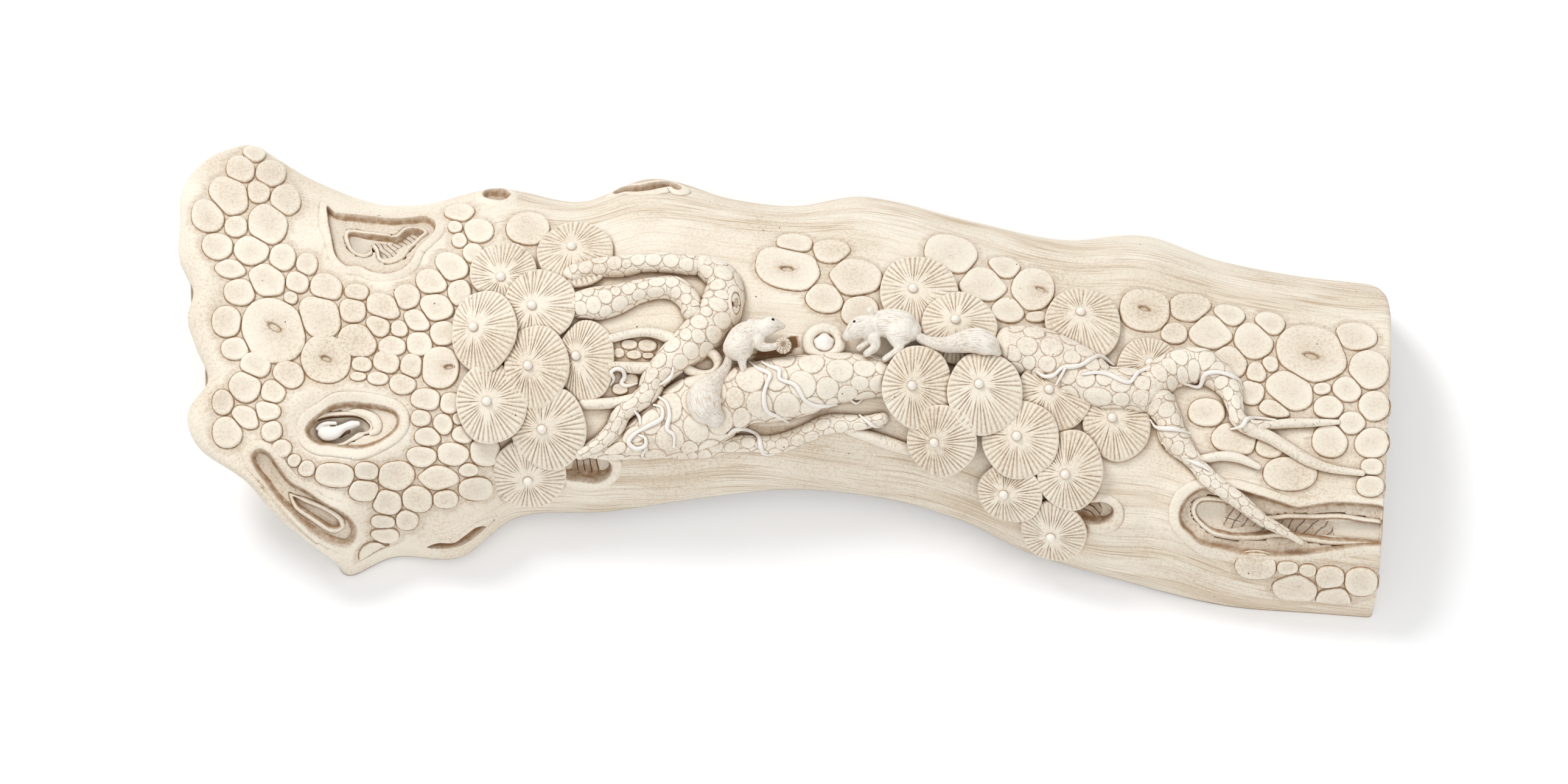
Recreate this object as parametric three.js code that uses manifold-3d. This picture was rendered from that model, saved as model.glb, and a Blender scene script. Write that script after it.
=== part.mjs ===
// A biscuit porcelain wrist rest: a vaulted half trunk of an old pine, open underneath, with branches,
// needle discs, two squirrels and white root tendrils luted onto it. Millimetres, +Z up, +X along the trunk
// towards the sawn end, +Y away from the writer.
import * as THREE from 'three';
import Module from 'manifold-3d';
import { mergeVertices } from 'three/addons/utils/BufferGeometryUtils.js';

const wasm = await Module();
wasm.setup();

// Trunk
const LENGTH = 280; // over the two ends
const WIDTH = 118; // between the widest points of the two rims
const TORN_DEPTH = 38; // how far the near corner of the torn end is cut back
const SAWN_DEPTH = 5; // the same at the sawn end
const CREST = 26; // height of the vault above its rims
const CREST_END = 28; // the same at the torn end
const WALL = 6; // thickness of the clay
const RIM_LIFT = 5; // how far the middle of each rim arches clear of the desk
const FOOT_LENGTH = 35; // stretch at each end of a rim that stands flat on the desk
const ROUNDNESS = 2.3; // 2 is an ellipse, more is squarer in the shoulder
const LIP_ROUND = 4.5; // rounding of the torn end's thick lip
const CUT_ROUND = 1.2; // rounding of the sawn end
const LIP_SHARE = 0.75; // part of that rounding taken off the outside of the wall, the rest off the inside
const SEAT_GAP = 0.3; // clearance between pieces that touch
const ACROSS = 14; // facets from rim to rim
const ALONG = 17; // stations between those close to the ends
const END_STATIONS = [0, 1.4, 5]; // distances from an end, where its edge is rounded
const NEAR_EDGE = 0.985; // furthest share of the half width where a piece is laid

// Needle discs
const DISC_THICKNESS = 1.5;
const DISC_BED = 5; // pad of clay under a disc, trimmed to what the disc lies on
const DISC_SAG = 42; // radius to which a disc is bent over the trunk
const DISC_CROWN = 0.9; // height of a disc's middle over the middle of its rim
const DISC_FLAT = 0.8; // part of a disc inside its rounded edge
const BEAD = 1.15; // radius of the bead near a disc's middle
const DISC_SIDES = 12;

// Branches and limbs
const BRANCH_STEP = 5; // distance between two rings of a branch
const BRANCH_MIDDLE = 0.5; // least height of a branch's widest line over the trunk
const ANIMAL_STEP = 3; // the same in a squirrel's limbs and tail
const ROLL_SIDES = 6; // corners of a ring of a branch, a limb or a rolled rim
const DOME_LENGTH = 0.5; // length of a domed end, as a share of its smaller radius
const DOME_WIDTH = 0.6; // radii of the dome's outer ring, as a share of those of the end

// Tendrils
const TENDRIL = 0.75; // radius of a rolled tendril
const TENDRIL_STEP = 2.4; // distance between two rings of a tendril
const TENDRIL_SIDES = 5;
const TENDRIL_PLAY = 0.15; // room left under a tendril beyond the clearance
const TENDRIL_DIP = 0.2; // how far a tendril may sag between two high points

// Rims of the trunk seen from above: [share of the half length, share of the half width from the middle line]
const NEAR_RIM = [
  [-1, -0.847], [-0.73, -0.835], [-0.64, -0.744], [-0.53, -0.749], [-0.44, -0.592], [-0.29, -0.573],
  [-0.11, -0.515], [0.02, -0.488], [0.17, -0.525], [0.3, -0.617], [0.4, -0.736], [0.55, -0.841],
  [0.72, -0.939], [0.88, -0.973], [1, -0.996],
];
const FAR_RIM = [
  [-1, 1], [-0.9, 0.99], [-0.79, 0.832], [-0.68, 0.725], [-0.6, 0.717], [-0.48, 0.776], [-0.34, 0.705],
  [-0.22, 0.802], [-0.08, 0.705], [0.02, 0.676], [0.14, 0.72], [0.31, 0.627], [0.47, 0.553], [0.6, 0.585],
  [0.72, 0.486], [0.86, 0.415], [1, 0.373],
];
// Ends of the trunk: [share of the half width, share of the end's depth in from the end]
const TORN_END = [
  [-1, 1], [-0.9, 0.776], [-0.8, 0.605], [-0.7, 0.461], [-0.6, 0.218], [-0.5, 0.121], [-0.4, 0.121],
  [-0.28, 0.224], [-0.12, 0.145], [0.02, 0.087], [0.15, 0.113], [0.33, 0.016], [0.5, 0.008], [0.68, 0],
  [0.8, 0.079], [0.9, 0.224], [1, 0.345],
];
const SAWN_END = [[-1, 1], [-0.6, 0.8], [0, 0.44], [0.4, 0.16], [0.75, 0], [0.9, 0.2], [1, 0.8]];

// Needle discs, lowest first: place as shares of the half length and half width, the disc's own half length
// and half width, height of its middle above the trunk, slope of its lean on its neighbours, place of its bead
const DISCS = [
  { at: [-0.341, 0.42], long: 8.7, wide: 9.4, rise: 1.2, lean: [0, 0], bead: [-0.8, 1] },
  { at: [-0.458, 0.26], long: 7.6, wide: 7.4, rise: 1.3, lean: [0, 0], bead: [-0.4, -2.4] },
  { at: [-0.32, -0.29], long: 6.4, wide: 9.6, rise: 1.2, lean: [0, 0], bead: [-2.4, 0.7] },
  { at: [-0.396, 0.04], long: 8.2, wide: 8.9, rise: 2.2, lean: [0, 0], bead: [-1.8, -0.7] },
  { at: [-0.415, -0.88], long: 8.4, wide: 9.2, rise: 1.2, lean: [0, 0], bead: [-0.3, -1] },
  { at: [-0.379, -0.67], long: 8.5, wide: 9.5, rise: 2.2, lean: [0, 0.04], bead: [-1.6, 0] },
  { at: [-0.4, -0.34], long: 7.4, wide: 9.7, rise: 3, lean: [0, 0], bead: [-1.8, -0.1] },
  { at: [-0.475, -0.48], long: 8, wide: 9.3, rise: 2.6, lean: [0.12, 0], bead: [-1.3, 0.2] },
  { at: [-0.486, -0.08], long: 7.5, wide: 10, rise: 3.2, lean: [0.15, 0], bead: [-2.4, 0.5] },
  { at: [0.221, 0.15], long: 8.9, wide: 9.7, rise: 1.2, lean: [0, 0], bead: [-1.5, 0.4] },
  { at: [0.285, -0.02], long: 8.6, wide: 8.9, rise: 2.2, lean: [0, 0], bead: [-0.9, 1.5] },
  { at: [0.489, 0.25], long: 8.6, wide: 9.6, rise: 1.2, lean: [0, 0], bead: [-0.7, 2.4] },
  { at: [0.595, 0.01], long: 7.3, wide: 7.6, rise: 0.9, lean: [0, 0], bead: [0, 0.8] },
  { at: [0.541, -0.32], long: 7.7, wide: 8.8, rise: 1, lean: [0, 0], bead: [-1.3, 0.8] },
  { at: [0.439, -0.23], long: 8.5, wide: 8.6, rise: 1.6, lean: [0, 0], bead: [-1.3, 1] },
  { at: [0.441, -0.92], long: 7.5, wide: 8.4, rise: 1.3, lean: [0, 0], bead: [-0.4, -0.6] },
  { at: [0.372, -0.82], long: 7.5, wide: 7.2, rise: 2, lean: [0, 0], bead: [-1.3, -0.1] },
  { at: [0.464, -0.62], long: 7.5, wide: 9.1, rise: 2.2, lean: [0, 0], bead: [-1.1, -0.9] },
  { at: [0.385, -0.54], long: 8.7, wide: 8.9, rise: 3, lean: [0, 0], bead: [-0.8, 0.7] },
  { at: [0.219, -0.47], long: 7.9, wide: 9.5, rise: 5.2, lean: [-0.1, 0], bead: [-1.3, 0.2] },
  { at: [0.327, -0.38], long: 8.5, wide: 9.6, rise: 4.6, lean: [-0.12, 0], bead: [-1.3, 1.8] },
  { at: [0.261, -0.7], long: 7.9, wide: 8.4, rise: 4.6, lean: [0, 0.1], bead: [-1.7, -0.3] },
];

// Branches: each point is share of the half length, share of the half width, half width of the branch and
// height of its top over the trunk
const BRANCHES = {
  crevice_strand_upper: [
    [-0.347, 0.27, 2.2, 2.8], [-0.305, 0.29, 2.2, 3], [-0.266, 0.25, 2.4, 3.2], [-0.226, 0.23, 2, 3.2],
    [-0.186, 0.23, 2.2, 3.4], [-0.146, 0.23, 2.2, 3.6],
  ],
  crevice_strand_lower: [
    [-0.339, 0.07, 3.1, 2.8], [-0.305, 0.06, 3.9, 3.2], [-0.275, 0.05, 3.5, 3.3], [-0.24, 0.06, 2.7, 3.3],
    [-0.206, 0.07, 2.4, 3.4], [-0.176, 0.07, 2.7, 3.6], [-0.154, 0, 2.5, 3.8],
  ],
  elbow_branch: [
    [-0.129, 0.24, 2.5, 4], [-0.101, 0.17, 3.8, 5], [-0.098, 0.03, 4.8, 5.2], [-0.114, -0.11, 5, 5.2],
    [-0.145, -0.25, 4.5, 5], [-0.173, -0.34, 3.9, 4.8], [-0.197, -0.42, 3.2, 4.4],
    [-0.212, -0.48, 2.8, 4.1], [-0.219, -0.54, 2.5, 3.9], [-0.239, -0.58, 2.1, 3.6],
    [-0.262, -0.62, 2, 3.5], [-0.274, -0.69, 2, 3.4], [-0.299, -0.75, 1.7, 3.2], [-0.331, -0.79, 1.4, 2.8],
  ],
  hollow_twig: [
    [-0.281, -0.19, 1, 2], [-0.25, -0.19, 1, 2.1], [-0.217, -0.2, 1.1, 2.4],
  ],
  short_twig: [
    [-0.28, -0.35, 1.1, 2], [-0.252, -0.38, 1.3, 2.2], [-0.228, -0.4, 1.4, 2.5],
  ],
  thin_twig: [
    [-0.325, -0.54, 1.3, 2], [-0.294, -0.55, 1.3, 2.2], [-0.269, -0.56, 1.3, 2.3],
    [-0.244, -0.56, 1.4, 2.6],
  ],
  main_branch: [
    [-0.312, -0.79, 1.4, 2.2], [-0.279, -0.79, 2.4, 3], [-0.24, -0.76, 4.5, 3.8], [-0.2, -0.73, 6.7, 4.4],
    [-0.16, -0.68, 8.1, 4.8], [-0.116, -0.63, 8.1, 5.2], [-0.066, -0.57, 6.7, 5.6], [-0.017, -0.55, 7, 5.8],
    [0.033, -0.52, 6.7, 5.8], [0.082, -0.48, 5.9, 5.6], [0.132, -0.46, 4.9, 5.2], [0.173, -0.44, 4.1, 4.6],
  ],
  lower_branch: [
    [-0.174, -0.83, 2.2, 2.6], [-0.126, -0.83, 2.4, 3], [-0.087, -0.82, 2, 3], [-0.047, -0.83, 1.8, 3],
    [-0.017, -0.84, 2, 3], [0.013, -0.82, 2, 3], [0.043, -0.78, 2, 3], [0.072, -0.74, 2.1, 3],
    [0.107, -0.73, 2, 3], [0.137, -0.71, 1.4, 2.8], [0.162, -0.68, 1.4, 2.6],
  ],
  lower_fork: [
    [0.11, -0.76, 1.4, 2.4], [0.137, -0.78, 1.4, 2.4], [0.172, -0.8, 1.5, 2.4], [0.204, -0.81, 1.3, 2.2],
  ],
  right_branch: [
    [0.364, -0.03, 5.3, 4.2], [0.408, 0.01, 5.9, 4.6], [0.443, -0.01, 6, 4.9], [0.477, -0.06, 6.3, 5],
    [0.516, -0.13, 5.3, 5], [0.556, -0.13, 5, 4.9], [0.591, -0.13, 5.2, 4.8],
  ],
  right_arm_upper: [
    [0.599, -0.08, 4.3, 4.6], [0.625, 0.01, 4.1, 4.5], [0.652, 0.07, 4.3, 4.5], [0.682, 0.11, 4.1, 4.4],
    [0.707, 0.08, 3.4, 4.1], [0.726, 0.01, 2.5, 3.7], [0.733, -0.08, 1.8, 3.3], [0.738, -0.15, 1.7, 3],
    [0.757, -0.18, 1.7, 2.7], [0.783, -0.16, 1.1, 2.1], [0.818, -0.13, 1.1, 1.9], [0.858, -0.11, 1, 1.7],
    [0.9, -0.09, 0.6, 1.2],
  ],
  right_twig: [
    [0.759, -0.19, 1.7, 2.5], [0.788, -0.22, 1.5, 2.3], [0.817, -0.27, 1.4, 2.1], [0.851, -0.33, 1.3, 1.9],
    [0.885, -0.36, 1, 1.6], [0.937, -0.37, 0.7, 1.2],
  ],
  right_arm_lower: [
    [0.61, -0.18, 3.8, 4.6], [0.625, -0.26, 2.9, 4.2], [0.629, -0.32, 3.1, 4], [0.642, -0.37, 2.9, 3.8],
    [0.656, -0.41, 2.1, 3.4], [0.671, -0.45, 1.8, 3.2], [0.688, -0.5, 2, 3.2], [0.712, -0.54, 1.8, 3],
    [0.742, -0.59, 1.7, 2.8], [0.776, -0.66, 1.3, 2.4], [0.806, -0.7, 1, 2], [0.838, -0.75, 0.6, 1.4],
  ],
  side_twig: [
    [0.675, -0.42, 1.1, 2.3], [0.708, -0.37, 1.1, 2.1], [0.738, -0.36, 1.1, 1.9], [0.769, -0.39, 0.7, 1.3],
  ],
};

// Rings left where a branch was broken off: middle, half length, half width, radius of the roll, turn
const BRANCH_RINGS = {
  hollow_rim: { at: [-0.135, -0.37], long: 4.4, wide: 3, radius: 1.2, turn: -0.35, rise: 1.2 },
  ring_knot: { at: [0.066, -0.26], long: 3.6, wide: 3.3, radius: 1.3, turn: 0, rise: 1.6 },
};
const KERNEL = { radius: 1.9, rise: 1.2 }; // in the middle of the ring knot

// Hollows worked into the trunk's own clay: half length, half width, depth and turn. Some have a rolled rim
// that stands off the hollow by a margin along and across.
const GREAT_HOLLOW = {
  at: [-0.715, -0.42], long: 8.2, wide: 3.8, depth: 3.4, turn: -0.1,
  rim: { shift: 0.025, margin: [7.3, 5], roll: 2.2, sink: 0.9 },
};
const LEAF_HOLLOW = {
  at: [-0.67, 0.6], long: 11, wide: 4.6, depth: 2.2, turn: -0.35,
  rim: { shift: 0, margin: [3.5, 2.4], roll: 1.8, sink: 0.9 },
};
const LAYERED_HOLLOW = {
  at: [0.79, -0.65], long: 17, wide: 3.6, depth: 2.4, turn: -0.14,
  rim: { shift: -0.02, margin: [4, 2.4], roll: 1.5, sink: 0.7 },
};
const SMALL_HOLLOWS = [
  { at: [-0.79, -0.77], long: 14, wide: 2, depth: 1.8, turn: -0.72 },
  { at: [-0.533, -0.93], long: 6, wide: 2.2, depth: 1.6, turn: 0.35 },
  { at: [-0.319, -0.88], long: 4.6, wide: 2, depth: 2.6, turn: 0 },
  { at: [0.516, -0.79], long: 3.4, wide: 1.9, depth: 2.6, turn: 0 },
  { at: [-0.225, 0.84], long: 4.4, wide: 0.9, depth: 1.2, turn: 0 },
  { at: [0.159, 0.81], long: 3, wide: 0.9, depth: 1.2, turn: 0 },
];
const RIMMED_HOLLOWS = [GREAT_HOLLOW, LEAF_HOLLOW, LAYERED_HOLLOW];
const HOLLOW_KERNEL = { at: [-0.742, -0.4], long: 2.6, wide: 1.5, depth: 1.2, rise: -1.9 };

// White tendrils, each a polyline of shares of the half length and half width
const TENDRILS = [
  [[-0.282, -0.41], [-0.273, -0.51], [-0.249, -0.55], [-0.238, -0.5]],
  [[-0.203, -0.61], [-0.189, -0.67], [-0.188, -0.76], [-0.177, -0.86]],
  [
    [-0.242, -0.66], [-0.224, -0.63], [-0.206, -0.64], [-0.197, -0.7], [-0.235, -0.75], [-0.25, -0.79],
    [-0.235, -0.85],
  ],
  [[-0.049, -0.41], [-0.025, -0.47], [-0.031, -0.6], [-0.029, -0.7], [0.007, -0.77]],
  [[-0.029, -0.42], [-0.016, -0.51], [0.013, -0.58], [0.033, -0.66], [0.06, -0.68], [0.089, -0.66]],
  [[-0.091, -0.81], [-0.068, -0.79], [-0.043, -0.84], [-0.034, -0.92], [-0.015, -0.94]],
  [[0.411, -0.14], [0.443, -0.15], [0.464, -0.07], [0.488, -0.06], [0.513, 0.01], [0.547, -0.03]],
  [[0.484, -0.1], [0.526, -0.08], [0.564, -0.1], [0.593, -0.02]],
  [[0.65, -0.07], [0.675, -0.04], [0.686, 0.04], [0.714, 0.08], [0.741, 0.04]],
  [[0.594, -0.3], [0.607, -0.34], [0.639, -0.33], [0.654, -0.34]],
  [[0.725, -0.24], [0.742, -0.21], [0.756, -0.16], [0.794, -0.15]],
];

// Squirrels, modelled lying on their sides against the trunk. Points are x, y along and across the trunk and
// z out of it, in millimetres from the haunch, each with a radius.
const SQUIRREL_LEFT = {
  at: [-0.07, -0.3],
  body: [[[-0.9, 0.2, 3.2, 3.1], [0.6, 2.6, 3.6, 3.1], [3.2, 3.9, 3.8, 2.7], [5.4, 4.3, 4.2, 2.1]]],
  limbs: [
    [[5.2, 4.3, 4.4, 1.9], [7.2, 5, 4.6, 2.1], [8.6, 5, 4.5, 1.3], [9.6, 4.9, 4.4, 0.8]],
    [[4.2, 1.8, 4.6, 1.5], [4.6, 0.2, 4.6, 1.2], [7.2, 0, 4.6, 0.9], [9.4, 0.6, 4.8, 0.7]],
    [[0.3, -1.6, 4, 1.5], [0.5, -3.4, 3.6, 1], [0.9, -5.6, 3.4, 0.8]],
    [[3.6, 4.8, 5.6, 0.5], [2.4, 5.5, 5.8, 0.8]],
  ],
  balls: [[0, 0, 4, 3.1]],
  tail: [
    [-2.6, -1.7, 3, 0.9], [-3.7, -4.6, 3, 1.2], [-5.6, -7, 3.2, 2], [-7.6, -9.6, 3.4, 3.2],
    [-8.7, -12.6, 3.4, 4], [-8.1, -15.6, 3, 3.2], [-7.5, -17.6, 2.6, 1.2],
  ],
};
const SQUIRREL_RIGHT = {
  at: [0.188, -0.19],
  body: [[[2.4, 1, 3.6, 2.7], [0.6, 2, 4, 3.5], [-3, 2.6, 4, 3.4], [-6, 2.3, 4, 2.6], [-8.2, 1.8, 4.2, 2.1]]],
  limbs: [
    [[-7.8, 1.8, 4.4, 2.1], [-9.8, 1.4, 4.4, 2.2], [-11.2, 0.3, 4.2, 1.4], [-11.9, -0.2, 4.1, 1]],
    [[-5.9, -1, 4.4, 1.6], [-5.5, -3, 4.4, 1.1], [-7.6, -4.8, 4.4, 0.8]],
    [[-6.8, -1.2, 3.2, 1.1], [-9.2, -3.2, 3.4, 0.7]],
    [[-0.6, -1.8, 4.6, 1.7], [0, -3.5, 4.6, 1.1], [-3.3, -6, 4.4, 0.8]],
    [[-6.4, 3.4, 6, 0.5], [-7.1, 4.5, 6.2, 0.8]],
  ],
  balls: [[0, 0, 4.6, 3.1]],
  tail: [
    [3.2, 0.6, 4, 0.9], [4.9, -1, 4.2, 1.2], [7.2, -2.2, 4.6, 1.5], [10.6, -2.7, 5, 1.9],
    [13.8, -2.2, 5.2, 2.5], [17.6, -1.8, 5.2, 3], [20.4, -3, 4.8, 2.6], [22.2, -4.4, 4.4, 1],
  ],
};
const NUT = { from: SQUIRREL_LEFT.at, centre: [9.8, 0.4, 4.2], radius: 1.9 };

// Clays and washes
const CREAM = new THREE.Color('#efe4d0');
const DISC_CREAM = new THREE.Color('#ede0ca');
const WHITE = new THREE.Color('#f7f2ea');
const clay = (color) => new THREE.MeshStandardMaterial({ color, roughness: 0.75, metalness: 0 });

// Smooth value at u through a list of [u, value] stations
function smooth(stations, u) {
  let i = stations.findIndex((s) => s[0] > u) - 1;
  if (i < 0) i = u <= stations[0][0] ? 0 : stations.length - 2;
  const slope = (k) => {
    const a = stations[Math.max(k - 1, 0)];
    const b = stations[Math.min(k + 1, stations.length - 1)];
    return (b[1] - a[1]) / (b[0] - a[0]);
  };
  const [a, b] = [stations[i], stations[i + 1]];
  const step = b[0] - a[0];
  const t = THREE.MathUtils.clamp((u - a[0]) / step, 0, 1);
  const t2 = t * t;
  const t3 = t2 * t;
  return (2 * t3 - 3 * t2 + 1) * a[1] + (t3 - 2 * t2 + t) * step * slope(i)
    + (3 * t2 - 2 * t3) * b[1] + (t3 - t2) * step * slope(i + 1);
}

const rimLift = (x) => RIM_LIFT * Math.max(0, 1 - (x / (LENGTH / 2 - FOOT_LENGTH)) ** 2) ** 1.5;
const crestAt = (u) => THREE.MathUtils.lerp(CREST, CREST_END, Math.min(1, Math.max(0, -u * 1.6 - 0.2)));
const leftEdge = (v) => -LENGTH / 2 + TORN_DEPTH * smooth(TORN_END, v);
const rightEdge = (v) => LENGTH / 2 - SAWN_DEPTH * smooth(SAWN_END, v);
const rims = (u) => [smooth(NEAR_RIM, u), smooth(FAR_RIM, u)].map((share) => (share * WIDTH) / 2);

// Point of the vault at x along and v across (-1 near rim, 1 far rim), inset by a wall thickness
function vault(x, v, inset = 0) {
  const u = x / (LENGTH / 2);
  const [near, far] = rims(u);
  const rise = Math.max(0, 1 - Math.abs(v) ** ROUNDNESS) ** (1 / ROUNDNESS);
  return new THREE.Vector3(
    x, (near + far) / 2 + ((far - near) / 2 - inset) * v, rimLift(x) + (crestAt(u) - inset) * rise,
  );
}

// Tangents and outward normal of the vault where a piece sits
function seat([u, v]) {
  const x = u * (LENGTH / 2);
  const [d, dv] = [0.5, 0.01];
  const origin = vault(x, v);
  const along = vault(x + d, v).sub(vault(x - d, v)).normalize();
  const across = vault(x, v + dv).sub(vault(x, v - dv)).normalize();
  const out = along.clone().cross(across).normalize();
  across.copy(out).cross(along).normalize();
  return { origin, along, across, out };
}

function above(place, height) {
  const { origin, out } = seat(place);
  return origin.addScaledVector(out, height);
}

// A closed solid from a geometry, with its shared corners joined
function solidOf(geometry) {
  const bare = geometry.index ? geometry.toNonIndexed() : geometry.clone();
  bare.deleteAttribute('normal');
  bare.deleteAttribute('uv');
  const joined = mergeVertices(bare, 1e-3);
  const corners = [];
  const index = joined.index.array;
  for (let i = 0; i < index.length; i += 3) {
    const [a, b, c] = [index[i], index[i + 1], index[i + 2]];
    if (a !== b && b !== c && c !== a) corners.push(a, b, c);
  }
  return new wasm.Manifold(new wasm.Mesh({
    numProp: 3,
    vertProperties: new Float32Array(joined.attributes.position.array),
    triVerts: new Uint32Array(corners),
  }));
}

function geometryOf(solid) {
  const mesh = solid.getMesh();
  const geometry = new THREE.BufferGeometry();
  geometry.setAttribute('position', new THREE.BufferAttribute(new Float32Array(mesh.vertProperties), 3));
  geometry.setIndex(new THREE.BufferAttribute(new Uint32Array(mesh.triVerts), 1));
  geometry.computeVertexNormals();
  return geometry;
}

// Skin over a list of rings of points. Open ends get a fan; a closed run joins the last ring to the first.
function loft(rings, closed = false) {
  const points = [];
  const corners = [];
  const sides = rings[0].length;
  rings.forEach((ring) => ring.forEach((p) => points.push(p.x, p.y, p.z)));
  const runs = closed ? rings.length : rings.length - 1;
  for (let i = 0; i < runs; i += 1) {
    const [row, next] = [i * sides, ((i + 1) % rings.length) * sides];
    for (let j = 0; j < sides; j += 1) {
      const k = (j + 1) % sides;
      corners.push(row + j, next + k, row + k, row + j, next + j, next + k);
    }
  }
  if (!closed) {
    for (const [ring, flip] of [[0, true], [rings.length - 1, false]]) {
      const middle = new THREE.Vector3();
      rings[ring].forEach((p) => middle.addScaledVector(p, 1 / sides));
      const hub = points.length / 3;
      points.push(middle.x, middle.y, middle.z);
      for (let j = 0; j < sides; j += 1) {
        const [a, b] = [ring * sides + j, ring * sides + ((j + 1) % sides)];
        corners.push(...(flip ? [hub, a, b] : [hub, b, a]));
      }
    }
  }
  const geometry = new THREE.BufferGeometry();
  geometry.setAttribute('position', new THREE.Float32BufferAttribute(points, 3));
  geometry.setIndex(corners);
  return geometry;
}

// Oval ring of points round a centre, square to a direction
function ringAround(centre, direction, up, [wide, high], sides) {
  const side = direction.clone().cross(up).normalize();
  const rise = side.clone().cross(direction).normalize();
  return Array.from({ length: sides }, (_, j) => {
    const angle = (2 * Math.PI * j) / sides;
    return centre.clone().addScaledVector(side, wide * Math.cos(angle))
      .addScaledVector(rise, high * Math.sin(angle));
  });
}

// Limb through points, each with the two radii of its oval section, with domed ends
function limb(stops, up, grow, { sides = ROLL_SIDES, step = BRANCH_STEP } = {}) {
  const curve = new THREE.CatmullRomCurve3(stops.map((s) => s.point), false, 'centripetal');
  const count = Math.max(3, Math.round(curve.getLength() / step));
  const rings = [];
  for (let i = 0; i <= count; i += 1) {
    const t = i / count;
    const share = t * (stops.length - 1);
    const k = Math.min(Math.floor(share), stops.length - 2);
    const radii = [0, 1].map(
      (axis) => THREE.MathUtils.lerp(stops[k].radii[axis], stops[k + 1].radii[axis], share - k) + grow,
    );
    const direction = curve.getTangent(t);
    const ring = (ahead, scale) => ringAround(
      curve.getPoint(t).addScaledVector(direction, Math.min(...radii) * ahead), direction, up,
      radii.map((radius) => radius * scale), sides,
    );
    if (i === 0) rings.push(ring(-DOME_LENGTH, DOME_WIDTH));
    rings.push(ring(0, 1));
    if (i === count) rings.push(ring(DOME_LENGTH, DOME_WIDTH));
  }
  return solidOf(loft(rings));
}

// Closed roll of clay in an oval on the trunk
function roll({ at, long, wide, radius, turn, rise }, grow) {
  const { origin, along, across, out } = seat(at);
  const count = Math.max(9, Math.round(long));
  const centre = (angle) => {
    const [a, b] = [long * Math.cos(angle), wide * Math.sin(angle)];
    const flat = origin.clone().addScaledVector(along, a * Math.cos(turn) - b * Math.sin(turn))
      .addScaledVector(across, a * Math.sin(turn) + b * Math.cos(turn));
    return dropOnVault(flat, out, rise);
  };
  const rings = Array.from({ length: count }, (_, i) => {
    const angle = (2 * Math.PI * i) / count;
    const direction = centre(angle + 0.05).sub(centre(angle - 0.05)).normalize();
    return ringAround(centre(angle), direction, out, [radius + grow, radius + grow], ROLL_SIDES);
  });
  return solidOf(loft(rings, true));
}

// The point of the vault's skin below a point near it, raised by a height
function dropOnVault(point, out, rise) {
  const [near, far] = rims(point.x / (LENGTH / 2));
  const share = (point.y - (near + far) / 2) / ((far - near) / 2);
  const v = THREE.MathUtils.clamp(share, -NEAR_EDGE, NEAR_EDGE);
  return vault(point.x, v).addScaledVector(out, rise);
}

// Ellipsoid set into or on the trunk
function pod({ at, long, wide, depth, turn = 0, rise = 0 }, grow) {
  const { origin, along, across, out } = seat(at);
  const geometry = new THREE.SphereGeometry(1, 9, 5);
  geometry.scale(long + grow, wide + grow, depth + grow);
  geometry.rotateZ(turn);
  const basis = new THREE.Matrix4().makeBasis(along, across, out);
  geometry.applyMatrix4(basis.setPosition(origin.addScaledVector(out, rise)));
  return solidOf(geometry);
}

function ball(centre, radius, sides) {
  const geometry = new THREE.SphereGeometry(radius, sides, Math.round(sides * 0.7));
  geometry.translate(centre.x, centre.y, centre.z);
  return solidOf(geometry);
}

// The vaulted shell: a loop of outer and inner points at each station, with the two end faces between them
function trunk(grow) {
  const last = END_STATIONS.at(-1);
  const turnIn = (depth, radius) => {
    const left = THREE.MathUtils.clamp(radius - depth, 0, radius);
    return radius - Math.sqrt(radius ** 2 - left ** 2);
  };
  const stations = [
    ...END_STATIONS.map((gap) => (left) => left + gap),
    ...Array.from({ length: ALONG }, (_, i) => (left, right) => (
      THREE.MathUtils.lerp(left + last, right - last, (i + 1) / (ALONG + 1)))),
    ...END_STATIONS.toReversed().map((gap) => (left, right) => right - gap),
  ];
  const rings = stations.map((station) => {
    const loop = [];
    for (const inner of [false, true]) {
      for (let j = 0; j <= ACROSS; j += 1) {
        const share = inner ? 1 - (2 * j) / ACROSS : (2 * j) / ACROSS - 1;
        const swing = Math.sin((share * Math.PI) / 2);
        const v = Math.sign(swing) * Math.abs(swing) ** (2 / ROUNDNESS);
        const [left, right] = [leftEdge(v) - grow, rightEdge(v) + grow];
        const x = station(left, right);
        const round = Math.max(turnIn(x - left, LIP_ROUND), turnIn(right - x, CUT_ROUND));
        const inset = inner ? WALL - round * (1 - LIP_SHARE) + grow : round * LIP_SHARE - grow;
        loop.push(vault(x, v, inset));
      }
    }
    return loop;
  });
  return solidOf(capRings(rings));
}

// Closes the vault's two end faces across the wall
function capRings(rings) {
  const body = loft(rings);
  const sides = rings[0].length;
  const keep = (rings.length - 1) * sides * 6;
  const corners = Array.from(body.index.array).slice(0, keep);
  const last = (rings.length - 1) * sides;
  for (let j = 0; j < ACROSS; j += 1) {
    const [a, b, c, d] = [j, j + 1, sides - 2 - j, sides - 1 - j];
    corners.push(a, b, c, a, c, d);
    corners.push(last + a, last + c, last + b, last + a, last + d, last + c);
  }
  body.setIndex(corners);
  return body;
}

function trunkShell(grow) {
  let solid = trunk(grow);
  for (const { at, long, wide, turn, rim } of RIMMED_HOLLOWS) {
    const [beyond, aside] = rim.margin;
    const place = { at: [at[0] + rim.shift, at[1]], turn, rise: -rim.sink };
    solid = solid.add(roll({ ...place, long: long + beyond, wide: wide + aside, radius: rim.roll }, grow));
  }
  for (const hollow of [...RIMMED_HOLLOWS, ...SMALL_HOLLOWS]) solid = solid.subtract(pod(hollow, -grow));
  return solid;
}

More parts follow.
